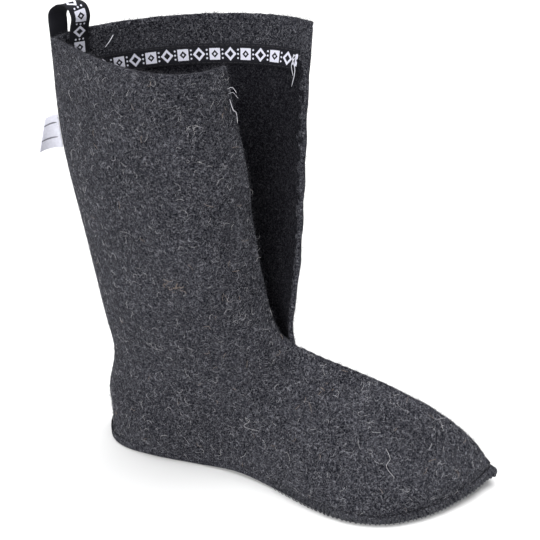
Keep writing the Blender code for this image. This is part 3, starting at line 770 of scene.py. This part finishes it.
def long_hairs(name, roots, lengths, radius, lift, curl, surface, rng, steps=9):
    """Loose longer hairs that wander over the felt and stand off it."""
    paths = []
    for spot, facing in zip(*roots):
        guide = rng.normal(size=3)
        heading = guide - facing * (guide @ facing)
        heading /= np.linalg.norm(heading)
        side = np.cross(facing, heading)
        length = rng.uniform(*lengths)
        turn, twist = rng.uniform(-curl, curl), rng.uniform(-curl, curl)
        height = rng.uniform(*lift)
        path, angle = [spot], 0.0
        for step in range(1, steps):
            share = step / (steps - 1)
            angle += (turn + twist * math.cos(share * 6)) / steps
            spot = spot + (heading * math.cos(angle) + side * math.sin(angle)) * length / (steps - 1)
            x, y, z = spot + facing * (FIBRE_ROOT + height * length * math.sin(math.pi * min(share, 0.8)))
            path.append([x, y, max(z, LOWEST_FIBRE)])
        paths.append(path)
    return add_tubes(name, paths, [radius] * len(paths), 4, surface)


# Materials


def blank_material(name, colour, roughness, sheen=0.0, specular=0.3):
    made = bpy.data.materials.new(name)
    made.use_nodes = True
    shader = made.node_tree.nodes["Principled BSDF"]
    shader.inputs["Base Color"].default_value = (*colour, 1.0)
    shader.inputs["Roughness"].default_value = roughness
    shader.inputs["Specular IOR Level"].default_value = specular
    shader.inputs["Sheen Weight"].default_value = sheen
    shader.inputs["Sheen Roughness"].default_value = 0.55
    shader.inputs["Sheen Tint"].default_value = (0.80, 0.82, 0.90, 1.0)
    return made


def put(socket, value):
    """Links a value that nodes work out to a socket, or sets the socket to a plain one."""
    if isinstance(value, Value):
        socket.id_data.links.new(value.socket, socket)
    else:
        socket.default_value = value


def add_node(tree, kind, **values):
    """A new node, with the sockets of these names set or linked."""
    made = tree.nodes.new("ShaderNode" + kind)
    for socket, value in values.items():
        put(made.inputs[socket], value)
    return made


class Value:
    """A value that a material's nodes work out. Reckoning with it adds the nodes for that."""

    def __init__(self, socket):
        self.socket = socket
        self.tree = socket.id_data

    def math(self, operation, other=0.0, clamp=False, turned=False):
        node = add_node(self.tree, "Math")
        node.operation, node.use_clamp = operation, clamp
        put(node.inputs[0], other if turned else self)
        put(node.inputs[1], self if turned else other)
        return Value(node.outputs[0])

    def __add__(self, other):
        return self.math("ADD", other)

    def __sub__(self, other):
        return self.math("SUBTRACT", other)

    def __rsub__(self, other):
        return self.math("SUBTRACT", other, turned=True)

    def __mul__(self, other):
        return self.math("MULTIPLY", other)

    def __truediv__(self, other):
        return self.math("DIVIDE", other)

    def __abs__(self):
        return self.math("ABSOLUTE")

    def __gt__(self, other):
        return self.math("GREATER_THAN", other)

    def __lt__(self, other):
        return self.math("LESS_THAN", other)

    def __or__(self, other):
        """The larger of the two."""
        return self.math("MAXIMUM", other)

    def near(self, middle, reach):
        """1 where it lies at middle, falling to 0 at reach from it."""
        return (abs(self - middle) / reach).math("SUBTRACT", 1.0, clamp=True, turned=True)

    def ripple(self, pitch):
        return (self * (2 * math.pi / pitch)).math("SINE")

    def noise(self, scale, detail=2.0, roughness=0.5, distortion=0.0):
        """Noise at the place that the value gives."""
        looks = {"Scale": scale, "Detail": detail, "Roughness": roughness, "Distortion": distortion}
        return Value(add_node(self.tree, "TexNoise", Vector=self, **looks).outputs["Fac"])

    def ramp(self, *stops):
        node = add_node(self.tree, "ValToRGB", Fac=self)
        first, last = node.color_ramp.elements[0], node.color_ramp.elements[1]
        first.position, first.color = stops[0][0], (*stops[0][1], 1.0)
        last.position, last.color = stops[-1][0], (*stops[-1][1], 1.0)
        for position, colour in stops[1:-1]:
            node.color_ramp.elements.new(position).color = (*colour, 1.0)
        return Value(node.outputs[0])

    def mix(self, one, two):
        """From one colour at 0 to the other at 1."""
        node = add_node(self.tree, "Mix")
        node.data_type = "RGBA"
        put(node.inputs["Factor"], self)
        put(node.inputs[6], one)
        put(node.inputs[7], two)
        return Value(node.outputs[2])


def place_in(surface):
    return Value(add_node(surface.node_tree, "TexCoord").outputs["Object"])


def cloth_map(surface):
    """Metres along and across a ribbon."""
    spot = Value(add_node(surface.node_tree, "TexCoord").outputs["UV"])
    split = add_node(surface.node_tree, "SeparateXYZ", Vector=spot)
    return Value(split.outputs[0]), Value(split.outputs[1])


def wear(surface, colour, height, strength, distance):
    """Gives the surface its colour, and a bump from height."""
    bump = add_node(surface.node_tree, "Bump", Strength=strength, Distance=distance, Height=height)
    shader = surface.node_tree.nodes["Principled BSDF"]
    put(shader.inputs["Base Color"], colour)
    put(shader.inputs["Normal"], Value(bump.outputs[0]))


def felt_material(name, dark, light, fibre, roughness, sheen, specular):
    """Heathered wool felt: dark and light wool in fine grains, thin curly fibres over it, soft lumps."""
    made = blank_material(name, dark, roughness, sheen, specular)
    at = place_in(made)
    grain, clump, broad = at.noise(860.0, 2.0, 0.6, 0.8), at.noise(470.0, 3.0, 0.7, 1.0), at.noise(38.0)
    tone = grain * 0.62 + clump * 0.38 + (broad - 0.5) * 0.10
    middle = tuple(a * 0.62 + b * 0.38 for a, b in zip(dark, light))
    colour = tone.ramp((0.41, dark), (0.52, middle), (0.61, light))
    lines = None
    for number, scale in enumerate((350.0, 480.0, 260.0)):
        shift = (0.37 * number, 0.11 * number, 0.23 * number)
        shifted = Value(add_node(made.node_tree, "Mapping", Vector=at, Location=shift).outputs[0])
        strand = shifted.noise(scale, 1.0, 0.5, 1.2).near(0.5, 0.034)
        broken = strand * (shifted.noise(scale * 1.7, 0.0) > 0.55)
        lines = broken if lines is None else lines | broken
    colour = (lines * 0.65).mix(colour, (*fibre, 1.0))
    wear(made, colour, grain * 0.55 + clump * 0.8 + lines * 0.25, 0.75, 0.0014)
    return made


def yarn_material(name, dark, light):
    """Twisted overlock yarn, nearly the felt's own colour."""
    made = blank_material(name, dark, 0.88, 0.25, 0.2)
    strand = place_in(made).noise(1500.0, 2.0, 0.6, 1.0)
    wear(made, strand.ramp((0.35, dark), (0.68, light)), strand, 0.5, 0.0004)
    return made


def ribbon_material(name):
    """Woven black ribbon with pale motifs: filled squares with a dark lozenge and open lozenges by turns,
    with a column of three dots between them. It reads the ribbon's own map, so its sizes are metres."""
    made = blank_material(name, (0.010, 0.010, 0.013), 0.70, 0.03, 0.10)
    along, across = cloth_map(made)
    cell = along / MOTIF_PITCH
    odd = (cell / 2.0).math("FRACT") > 0.5
    wobble = (place_in(made).noise(900.0, 1.0) - 0.5) * 0.0004
    run = abs((cell.math("FRACT") - 0.5) * MOTIF_PITCH) + wobble
    rise = abs(across + wobble)

    def lozenge(width, height):
        return run / width + rise / height < 1.0

    square = (run < 0.0040) * (rise < 0.0042) * (1.0 - lozenge(0.0026, 0.0028)) | lozenge(0.0010, 0.0011)
    open_lozenge = lozenge(0.0046, 0.0050) * (1.0 - lozenge(0.0024, 0.0026))
    side, up = MOTIF_PITCH / 2 - run, abs(abs(rise - 0.0015) - 0.0015)
    dots = (side * side + up * up).math("SQRT") < 0.0007
    pale = square * (1.0 - odd) | open_lozenge * odd | dots
    weave = across.ripple(0.00055) * along.ripple(0.00042)
    shade = weave * 0.10 + 0.9
    black = shade.ramp((0.78, (0.006, 0.006, 0.008)), (1.0, (0.015, 0.015, 0.020)))
    white = shade.ramp((0.78, (0.60, 0.60, 0.70)), (1.0, (0.78, 0.78, 0.88)))
    edge = rise > RIBBON_WIDTH / 2 - 0.0011
    wear(made, pale.mix(black, white), weave * 0.35 + edge * 0.8 + pale * 0.5, 0.5, 0.0002)
    return made


def label_material(name):
    """Pale woven satin with two thin grey bars on its patterned face."""
    made = blank_material(name, (0.60, 0.60, 0.68), 0.55, 0.15, 0.35)
    along, across = cloth_map(made)
    bars = across.near(0.0045, 0.0007) | across.near(-0.0065, 0.0007)
    bars = bars * along.near(0.0085, 0.0075) > 0.12
    tone = place_in(made).noise(500.0).ramp((0.3, (0.60, 0.60, 0.68)), (0.7, (0.70, 0.70, 0.78)))
    wear(made, bars.mix(tone, (0.16, 0.16, 0.19, 1.0)), across.ripple(0.0005), 0.35, 0.0001)
    return made


# Pieces


def ribbon(name, centres, acrosses, width, thickness, surface, slot, cup=0.0, slanted=False):
    """A flat strip with rounded selvedges along its centres. Its map holds metres along and across. Its width
    runs square to its length, unless it is slanted."""
    ahead = unit(np.gradient(centres, axis=0))
    across = acrosses
    if not slanted:
        across = across - ahead * (across * ahead).sum(axis=1)[:, None]
    across = unit(across)
    normal = unit(np.cross(ahead, across))
    stops = np.array([-1.0, -0.97, -0.6, -0.2, 0.2, 0.6, 0.97, 1.0])
    halves = np.array([0.25, 0.5, 0.5, 0.5, 0.5, 0.5, 0.5, 0.25])
    ring = np.concatenate([stops, stops[::-1]])
    side = np.concatenate([halves, -halves[::-1]])
    points = centres[:, None, :] + across[:, None, :] * (ring * width / 2)[None, :, None]
    points = points + normal[:, None, :] * (side * thickness + cup * (1 - ring**2))[None, :, None]
    map_across = ring * width / 2 + np.where(side < 0, PLAIN_SIDE, 0.0)
    uvs = np.stack(np.broadcast_arrays(measured(centres)[:, None], map_across[None, :]), axis=-1)
    faces = tube_faces(len(centres), len(ring))
    return add_mesh(name, points.reshape(-1, 3), faces, surface, uvs=uvs.reshape(-1, 2))


def level_line(grids, depth, drop, inset):
    """Points at one depth in the wall and one distance below the collar, from slit edge to slit edge."""
    halves = []
    for side in SIDES:
        outer, inner = (grid[: len(grid) // 3] for grid in grids[side])
        kept = outer + (inner - outer) * depth / WALL
        level = np.array([point_along(kept[:, column], drop) for column in range(kept.shape[1])])
        halves.append(point_along(level, np.linspace(0, measured(level)[-1] - inset, TAPE_STEPS)))
    return np.vstack([halves[0][:0:-1], halves[1]])


def make_tape(surface, grids):
    """The ribbon sewn round the inside of the collar."""
    depth = WALL + TAPE_SEAT + RIBBON_THICKNESS / 2
    high = level_line(grids, depth, TAPE_DROP, TAPE_END_INSET)
    low = level_line(grids, depth, TAPE_DROP + RIBBON_WIDTH, TAPE_END_INSET)
    middle = (high + low) / 2
    return ribbon("tape_ribbon", middle, high - low, RIBBON_WIDTH, RIBBON_THICKNESS, surface, "ribbon_black")


def make_tape_stitches(name, surface, grids, depth, towards, radius):
    """Rows of running stitches along both edges of the tape, at one depth in the wall. Each stitch dips in at
    its ends and bows out between."""
    paths = []
    shares = np.linspace(0, 1, 6)
    bow = (np.sin(shares * math.pi) * STITCH_BOW - STITCH_DIP)[:, None]
    for drop in (TAPE_DROP + STITCH_INSET, TAPE_DROP + RIBBON_WIDTH - STITCH_INSET):
        line = level_line(grids, depth, drop, TAPE_END_INSET + 0.001)
        out = unit(level_line(grids, depth + towards * 0.001, drop, TAPE_END_INSET + 0.001) - line)
        run = measured(line)
        place = STITCH_START
        while place + STITCH_LENGTH < run[-1]:
            stops = place + shares * STITCH_LENGTH
            paths.append(read_along(line, run, stops) + read_along(out, run, stops) * bow)
            place += STITCH_PITCH
    return add_tubes(name, paths, [radius] * len(paths), 6, surface)


def make_loop(surface):
    """The pull loop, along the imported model's centre line in finer steps."""
    band = panel(MEDIAL, [0.0, 0.5], np.linspace(0, 1, 61))
    collar, below = band
    facing = inward(band, MEDIAL)[0]
    run = measured(collar)
    outer = -LOOP_SEAT - RIBBON_THICKNESS / 2
    inner = WALL + LOOP_SEAT + RIBBON_THICKNESS / 2
    centres, acrosses = [], []
    for along, passed, bulge, up in smooth_line([row[1:] for row in LOOP_PATH], LOOP_STEPS):
        distance = along * RIBBON_WIDTH
        seat = read_along(collar, run, distance)
        rise = seat - read_along(below, run, distance)
        depth = outer + (inner - outer) * passed + LOOP_BULGE * bulge
        height = up * (LOOP_RISE if up > 0 else LOOP_TUCK)
        into = read_along(facing, run, distance)
        centres.append(seat + into * depth + rise / np.linalg.norm(rise) * height)
        acrosses.append(read_along(collar, run, distance + CLEARANCE) - seat)
    path = np.array(centres), np.array(acrosses)
    return ribbon("loop_ribbon", *path, RIBBON_WIDTH, RIBBON_THICKNESS, surface, "ribbon_black", cup=LOOP_CUP)


def make_label(surface):
    """The folded label caught in the back seam."""
    seam = back_end(LATERAL, np.linspace(0, HEEL_SEAT_ROW, 121))
    high, middle, low = (point_along(seam, LABEL_DROP + LABEL_HEIGHT * share) for share in (0, 0.5, 1))
    centres = [middle + [0.0, -CLEARANCE, 0.0]]
    for share in np.linspace(1 / LABEL_STEPS, 1, LABEL_STEPS):
        turn = LABEL_TURN * share**0.7
        heading = np.array([math.sin(turn), -math.cos(turn), -LABEL_DROOP * share])
        centres.append(centres[-1] + heading / np.linalg.norm(heading) * LABEL_REACH / LABEL_STEPS)
    centres = np.array(centres)
    slant = unit(np.gradient(centres, axis=0)) * measured(centres)[:, None] / LABEL_REACH * LABEL_SLANT
    path = centres, (low - high) / np.linalg.norm(low - high) + slant
    return ribbon("label_cloth", *path, LABEL_HEIGHT, LABEL_THICKNESS, surface, "label_white", slanted=True)


def edge_ring(step):
    """Points round the sole's edge every so many metres, with outward directions, from the toe tip round
    the lateral side and the heel and back to the tip, where the corner is turned in small steps."""
    places = []
    for side in SIDES:
        length = measured(side_edge(side)[0])[-1]
        edge = seat_point(side, np.linspace(0, 1, int(length / step) + 1))[:, :2]
        places.append(edge[::-1] if side == LATERAL else edge[1:])
    ring = np.vstack(places)
    ahead = np.gradient(ring, axis=0)
    ahead[0], ahead[-1] = ring[1] - ring[0], ring[-1] - ring[-2]
    ahead = unit(ahead)
    facing = np.stack([-ahead[:, 1], ahead[:, 0]], axis=1)
    if facing[len(ring) // 4] @ (ring[len(ring) // 4] - ring.mean(axis=0)) < 0:
        facing = -facing
    first, last = (math.atan2(v[1], v[0]) for v in (facing[0], facing[-1]))
    turn = (first - last + math.pi) % (2 * math.pi) - math.pi
    for share in np.linspace(0, 1, 9)[1:-1]:
        angle = last + share * turn
        ring = np.vstack([ring, ring[0]])
        facing = np.vstack([facing, [math.cos(angle), math.sin(angle)]])
    return ring, facing


def seam_middle(ring):
    """Height of the middle of the seam's roll."""
    return sole_rise(ring[:, 1]) + SEAM_LIFT + SEAM_HEIGHT / 2


def seam_reach(ring):
    """How far the seam's roll stands out at each point round the edge, with its knot at the toe tip."""
    fullness = np.interp(share_of_foot(ring[:, 1]), SEAM_SWELL_ALONG, SEAM_SWELL_SHARE)
    knot = SEAM_KNOT * np.exp(-((np.linalg.norm(ring - ring[0], axis=1) / SEAM_KNOT_LENGTH) ** 2))
    return SEAM_BULGE * fullness + knot


def seam_show(ring):
    """How much of the overlock shows round the edge: none at the heel and waist, all of it at the ball."""
    return np.interp(share_of_foot(ring[:, 1]), SEAM_SHOW_ALONG, (0.0, 1.0))


def make_seam(surface):
    """The rolled edge under the overlock stitches, nearly flush where they don't show."""
    ring, facing = edge_ring(0.0012)
    scallop = 1 - SCALLOP_DEPTH * (0.5 + 0.5 * np.cos(2 * math.pi * measured(ring) / SCALLOP_PITCH))
    scallop *= SEAM_FLUSH + (1 - SEAM_FLUSH) * seam_show(ring)
    reach, middle = seam_reach(ring) * scallop, seam_middle(ring)
    points = []
    for turn in np.linspace(-math.pi / 2, math.pi / 2, 11):
        spot = ring + facing * (SEAM_SEAT + reach * math.cos(turn) - SEAM_SINK)[:, None]
        up = SEAM_HEIGHT / 2 * math.sin(turn) * (1.25 if turn > 0 else 1.0)
        points.append(np.column_stack([spot, middle + up]))
    points = np.stack(points, axis=1)
    count, columns = points.shape[:2]
    last = (count - 1) * columns
    faces = grid_faces(count, columns, ring=True)
    faces += [(last + c, last + (c + 1) % columns, (c + 1) % columns, c) for c in range(columns)]
    return weld(add_mesh("seam_roll", points.reshape(-1, 3), faces, surface), 1e-7)


def make_overlock(surface):
    """Overlock stitches: slanted wraps of yarn over the rolled edge, and a chain along its upper side."""
    ring, facing = edge_ring(0.0009)
    reach, shown, middle = seam_reach(ring), seam_show(ring), seam_middle(ring)
    run = measured(ring)

    def spot(distance, turn, lift):
        out = SEAM_SEAT + (np.interp(distance, run, reach) + lift) * math.cos(turn)
        x, y = read_along(ring, run, distance) + read_along(facing, run, distance) * out
        height = np.interp(distance, run, middle) + (SEAM_HEIGHT / 2 + lift * 0.4) * math.sin(turn)
        return x, y, max(height, LOWEST_YARN)

    rng = np.random.default_rng(5)
    starts = np.arange(0.0, run[-1] - 2 * OVERLOCK_PITCH, OVERLOCK_PITCH)
    starts = starts[np.interp(starts, run, shown) > 0.05]
    starts = starts + rng.uniform(-WRAP_STRAY, WRAP_STRAY, len(starts))
    lifts, widths = rng.uniform(0.0, WRAP_LIFT, len(starts)), rng.uniform(0.75, 1.1, len(starts))
    low, high = WRAP_TURNS
    wraps, chain, radii = [], [], []
    for start, lift, width in zip(starts, lifts, widths):
        turns = np.linspace(low, high, 9)
        wraps.append([spot(start + WRAP_LEAN * (t - low) / (high - low), t, lift) for t in turns])
        radii.append(YARN_THINNEST + YARN_SWELL * width * np.interp(start, run, shown))
        chain.append([
            spot(start + OVERLOCK_PITCH * 1.2 * s, CHAIN_TURN + CHAIN_BOW * math.sin(s * math.pi), CHAIN_LIFT)
            for s in np.linspace(0, 1, 6)
        ])
    add_tubes("overlock_wraps", wraps, radii, 6, surface)
    radii = [radius * CHAIN_THINNESS for radius in radii]
    add_tubes("overlock_chain", chain, radii, 6, surface)


def make_sole(surface):
    """The felt sole, with a softly uneven underside and rounded edges."""
    rows, columns = SOLE_ROWS, SOLE_COLUMNS
    seats = np.linspace(0, 1, rows) ** 0.85
    right, left = seat_point(LATERAL, seats), seat_point(MEDIAL, seats)
    across = (1 - np.cos(np.linspace(0, math.pi, columns))) / 2
    sheet = right[:, None, :] * (1 - across)[None, :, None] + left[:, None, :] * across[None, :, None]
    under = sole_rise(sheet[..., 1])
    edge = np.minimum(across, 1 - across)[None, :] * np.linalg.norm(right - left, axis=1)[:, None]
    tuck = np.clip(1 - edge / SOLE_ROUND, 0, 1) ** 2 * SOLE_TUCK
    bottom, top = sheet.copy(), sheet.copy()
    bottom[..., 2] = under + tuck + np.clip(relief_of(sheet, SOLE_NAP), 0, SOLE_NAP_MOST)
    top[..., 2] = under + SOLE_THICKNESS - tuck * 0.5
    numbers = np.arange(rows * columns).reshape(rows, columns)
    faces = grid_faces(rows, columns)
    faces += [face[::-1] for face in grid_faces(rows, columns, rows * columns)]
    for line in (numbers[:, 0], numbers[:, -1], numbers[0], numbers[-1]):
        faces += strip_faces(line, line + rows * columns)
    points = np.vstack([bottom.reshape(-1, 3), top.reshape(-1, 3)])
    return weld(add_mesh("sole_felt", points, faces, surface))


def on_panel(grids, side, row, share, out=0.0):
    """A place on a panel's outer face, by section row and share, so far off it."""
    grid = grids[side][0]
    r, c = int(round(row * SECTION_ROWS)), int(round(share * PANEL_COLUMNS))
    return grid[r, c] - inward(grid, side)[r, c] * out


def tufts(name, grids, marks, surface, rng):
    """Tangles of curly hairs at listed spots of the lateral panel."""
    spots, facings = [], []
    for row, share, hairs in marks:
        middle = on_panel(grids, LATERAL, row, share)
        facing = on_panel(grids, LATERAL, row, share, 1.0) - middle
        level = np.cross(facing, [0.0, 0.0, 1.0])
        level /= np.linalg.norm(level)
        steep = np.cross(facing, level)
        for across, up in rng.normal(0.0, TUFT_REACH, (hairs, 2)):
            spots.append(middle + level * across * 1.6 + steep * up)
            facings.append(facing)
    return long_hairs(name, (spots, facings), (0.002, 0.006), 0.00007, (0.02, 0.12), 4.5, surface, rng)


def aim(made, azimuth, elevation):
    """Turns a lamp or camera to look from an angle in degrees, and returns the direction back to it: azimuth
    0 is behind the heel, 90 the lateral side."""
    a, e = math.radians(azimuth), math.radians(elevation)
    back = Vector((math.sin(a) * math.cos(e), -math.cos(a) * math.cos(e), math.sin(e)))
    made.rotation_euler = (-back).to_track_quat("-Z", "Y").to_euler()
    return back


def add_lamp(name, azimuth, elevation, spread, strength):
    """Soft, even studio light that comes from one side."""
    lamp = bpy.data.lights.new(name, "SUN")
    lamp.angle = math.radians(spread)
    lamp.energy = strength
    aim(add_object(name, lamp), azimuth, elevation)


# Scene

felt, sole_felt, painted_shade_felt = (
    felt_material("felt_wool" + ending, *looks)
    for ending, *looks in (
        # ending, dark wool, light wool, fibres, roughness, sheen, specular
        ("", (0.002, 0.002, 0.004), (0.058, 0.059, 0.071), (0.26, 0.26, 0.29), 0.95, 0.02, 0.06),
        ("_sole", (0.003, 0.003, 0.004), (0.052, 0.053, 0.062), (0.16, 0.16, 0.18), 0.97, 0.02, 0.06),
        # The _inside felt is the same wool painted darker: its colours are painted shade for the inside of the
        # boot.
        ("_inside", (0.003, 0.003, 0.005), (0.024, 0.024, 0.029), (0.075, 0.075, 0.085), 0.97, 0.0, 0.02),
    )
)
yarn = yarn_material("overlock_thread", (0.006, 0.006, 0.008), (0.048, 0.049, 0.056))
black_thread = blank_material("black_thread", (0.010, 0.010, 0.012), 0.6, 0.1)
ribbon_cloth = ribbon_material("ribbon_weave")
label_cloth = label_material("label_weave")
fibre_grey = blank_material("fibre_grey", (0.045, 0.045, 0.054), 0.8)
fibre_light = blank_material("fibre_light", (0.26, 0.26, 0.29), 0.7)
fibre_pale = blank_material("fibre_pale", (0.42, 0.42, 0.45), 0.6)
fibre_white = blank_material("fibre_white", (0.66, 0.65, 0.66), 0.6)
fibre_tan = blank_material("fibre_tan", (0.50, 0.39, 0.31), 0.7)
white_thread = blank_material("white_thread", (0.75, 0.75, 0.82), 0.5, 0.2)

# The panels meet at the back seam and along the vamp's ridge.
grids = {side: felt_grids(side) for side in SIDES}
for layer in (0, 1):
    one, other = grids[LATERAL][layer], grids[MEDIAL][layer]
    back_seam, ridge = np.s_[: FINE_HEEL_SEAT + 1, 0], np.s_[FINE_THROAT:, -1]
    for seam in (back_seam, ridge):
        one[seam] = other[seam] = (one[seam] + other[seam]) / 2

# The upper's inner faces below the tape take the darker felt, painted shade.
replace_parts(make_upper(felt, painted_shade_felt, grids), "upper")
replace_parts(make_sole(sole_felt), "sole")
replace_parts(make_seam(felt), "edge_seam")
make_overlock(yarn)
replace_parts(make_tape(ribbon_cloth, grids), "collar_tape")
tape_face = WALL + TAPE_SEAT + RIBBON_THICKNESS
make_tape_stitches("tape_stitches", black_thread, grids, tape_face, 1.0, 0.00022)
make_tape_stitches("stitch_backs", black_thread, grids, 0.0001, -1.0, 0.00032)
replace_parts(make_loop(ribbon_cloth), "pull_loop")
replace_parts(make_label(label_cloth), "size_label")

rng = np.random.default_rng(11)
roots = zip(roots_on(grids, 27000, rng), roots_on_rims(grids, 2000, rng))
roots = [np.vstack(pair) for pair in roots]
fuzz("fuzz_grey", roots, (0.0012, 0.0036), 0.00018, (0.05, 0.48), 0.30, fibre_grey, rng)
roots = roots_on(grids, 14000, rng)
fuzz("fuzz_light", roots, (0.0012, 0.0044), 0.00013, (0.01, 0.14), 0.40, fibre_light, rng)
for name, count, lengths, radius, lift, curl, surface, steps in (
    ("hairs_pale", 2600, (0.0022, 0.0060), 0.00006, (0.01, 0.10), 4.2, fibre_pale, 7),
    ("hairs_light", 520, (0.0030, 0.0090), 0.000065, (0.02, 0.10), 4.4, fibre_white, 9),
    ("hairs_tan", 130, (0.003, 0.008), 0.00006, (0.01, 0.05), 2.5, fibre_tan, 9),
):
    long_hairs(name, roots_on(grids, count, rng), lengths, radius, lift, curl, surface, rng, steps)
tufts("tufts_tan", grids, TAN_TUFTS, fibre_tan, rng)
tufts("tufts_pale", grids, PALE_TUFTS, fibre_white, rng)

# Long hairs and loose threads, through marks of (section row, share, height off the felt's outer face).
# INSIDE is just off its inner face.
INSIDE = -WALL - 0.0006
FELT, CLOTH = "felt_charcoal", "label_white"
for name, side, radius, surface, slot, marks in (
    ("hair_vamp", LATERAL, 0.00010, fibre_white, FELT,
     ((11.36, 0.60, 0.0004), (11.50, 0.54, 0.0008), (11.50, 0.47, 0.0008), (11.68, 0.39, 0.0004))),
    ("hair_waist", LATERAL, 0.00008, fibre_white, FELT,
     ((8.60, 0.50, 0.0004), (8.85, 0.46, 0.0008), (8.95, 0.40, 0.0008), (9.30, 0.36, 0.0004))),
    ("thread_flap", LATERAL, 0.00016, white_thread, CLOTH,
     ((0.30, 0.985, 0.0008), (0.38, 0.99, 0.002), (0.46, 1.0, 0.0012), (0.54, 1.0, 0.0004))),
    ("thread_flap_tail", LATERAL, 0.00012, white_thread, CLOTH,
     ((0.22, 0.98, 0.0005), (0.21, 1.0, 0.0022), (0.27, 1.0, 0.0050))),
    ("thread_flap_wisp", LATERAL, 0.00008, white_thread, CLOTH,
     ((0.24, 0.985, 0.0005), (0.27, 1.0, 0.0020), (0.31, 1.0, 0.0058))),
    ("thread_dark", LATERAL, 0.00022, black_thread, CLOTH,
     ((0.20, 0.965, 0.0004), (0.30, 0.97, 0.0007), (0.40, 0.975, 0.0003))),
    ("thread_tape_end", MEDIAL, 0.00024, white_thread, CLOTH,
     ((0.28, 0.945, INSIDE - 0.001), (0.36, 0.925, INSIDE - 0.003), (0.46, 0.945, INSIDE - 0.002),
      (0.58, 0.915, INSIDE))),
    ("thread_tape_end_two", MEDIAL, 0.00020, white_thread, CLOTH,
     ((0.30, 0.955, INSIDE - 0.001), (0.42, 0.935, INSIDE - 0.003), (0.52, 0.94, INSIDE - 0.001))),
    ("thread_inside", MEDIAL, 0.00026, white_thread, CLOTH,
     ((0.18, 0.215, INSIDE), (0.14, 0.235, INSIDE - 0.0005), (0.10, 0.255, INSIDE))),
    ("thread_corner", MEDIAL, 0.00018, white_thread, CLOTH,
     ((0.02, 1.0, 0.0008), (0.06, 1.0, -0.001), (0.12, 0.99, -0.003))),
):
    places = [on_panel(grids, side, *mark) for mark in marks]
    line = through(places, np.linspace(0, len(marks) - 1, 8 * len(marks)))
    add_tubes(name, [line], [radius], 6, surface)

# Floor, light and camera

floor_mesh = bpy.data.meshes.new("floor")
floor_mesh.from_pydata([(-6, -6, 0), (6, -6, 0), (6, 6, 0), (-6, 6, 0)], [], [(0, 1, 2, 3)])
floor_mesh.materials.append(blank_material("floor_white", (0.81, 0.81, 0.81), 0.9))
floor = add_object("floor", floor_mesh)
floor.location.z = -0.0002

world = bpy.data.worlds.new("studio")
world.use_nodes = True
world.node_tree.nodes["Background"].inputs["Color"].default_value = (0.98, 0.99, 1.0, 1.0)
world.node_tree.nodes["Background"].inputs["Strength"].default_value = WORLD_LIGHT
bpy.context.scene.world = world
bpy.context.scene.view_settings.view_transform = "Standard"
add_lamp("top_light", 262.0, 81.0, 54.0, 3.7)
add_lamp("side_light", 84.0, 27.0, 40.0, 2.5)

camera_data = bpy.data.cameras.new("camera")
camera_data.sensor_width = 36.0
camera_data.lens = 77.33
camera_data.shift_x = -0.0056
camera_data.shift_y = 0.048
camera = add_object("camera", camera_data)
back = aim(camera, CAMERA_AZIMUTH, CAMERA_ELEVATION)
camera.location = Vector(CAMERA_TARGET) + back * CAMERA_DISTANCE
bpy.context.scene.camera = camera
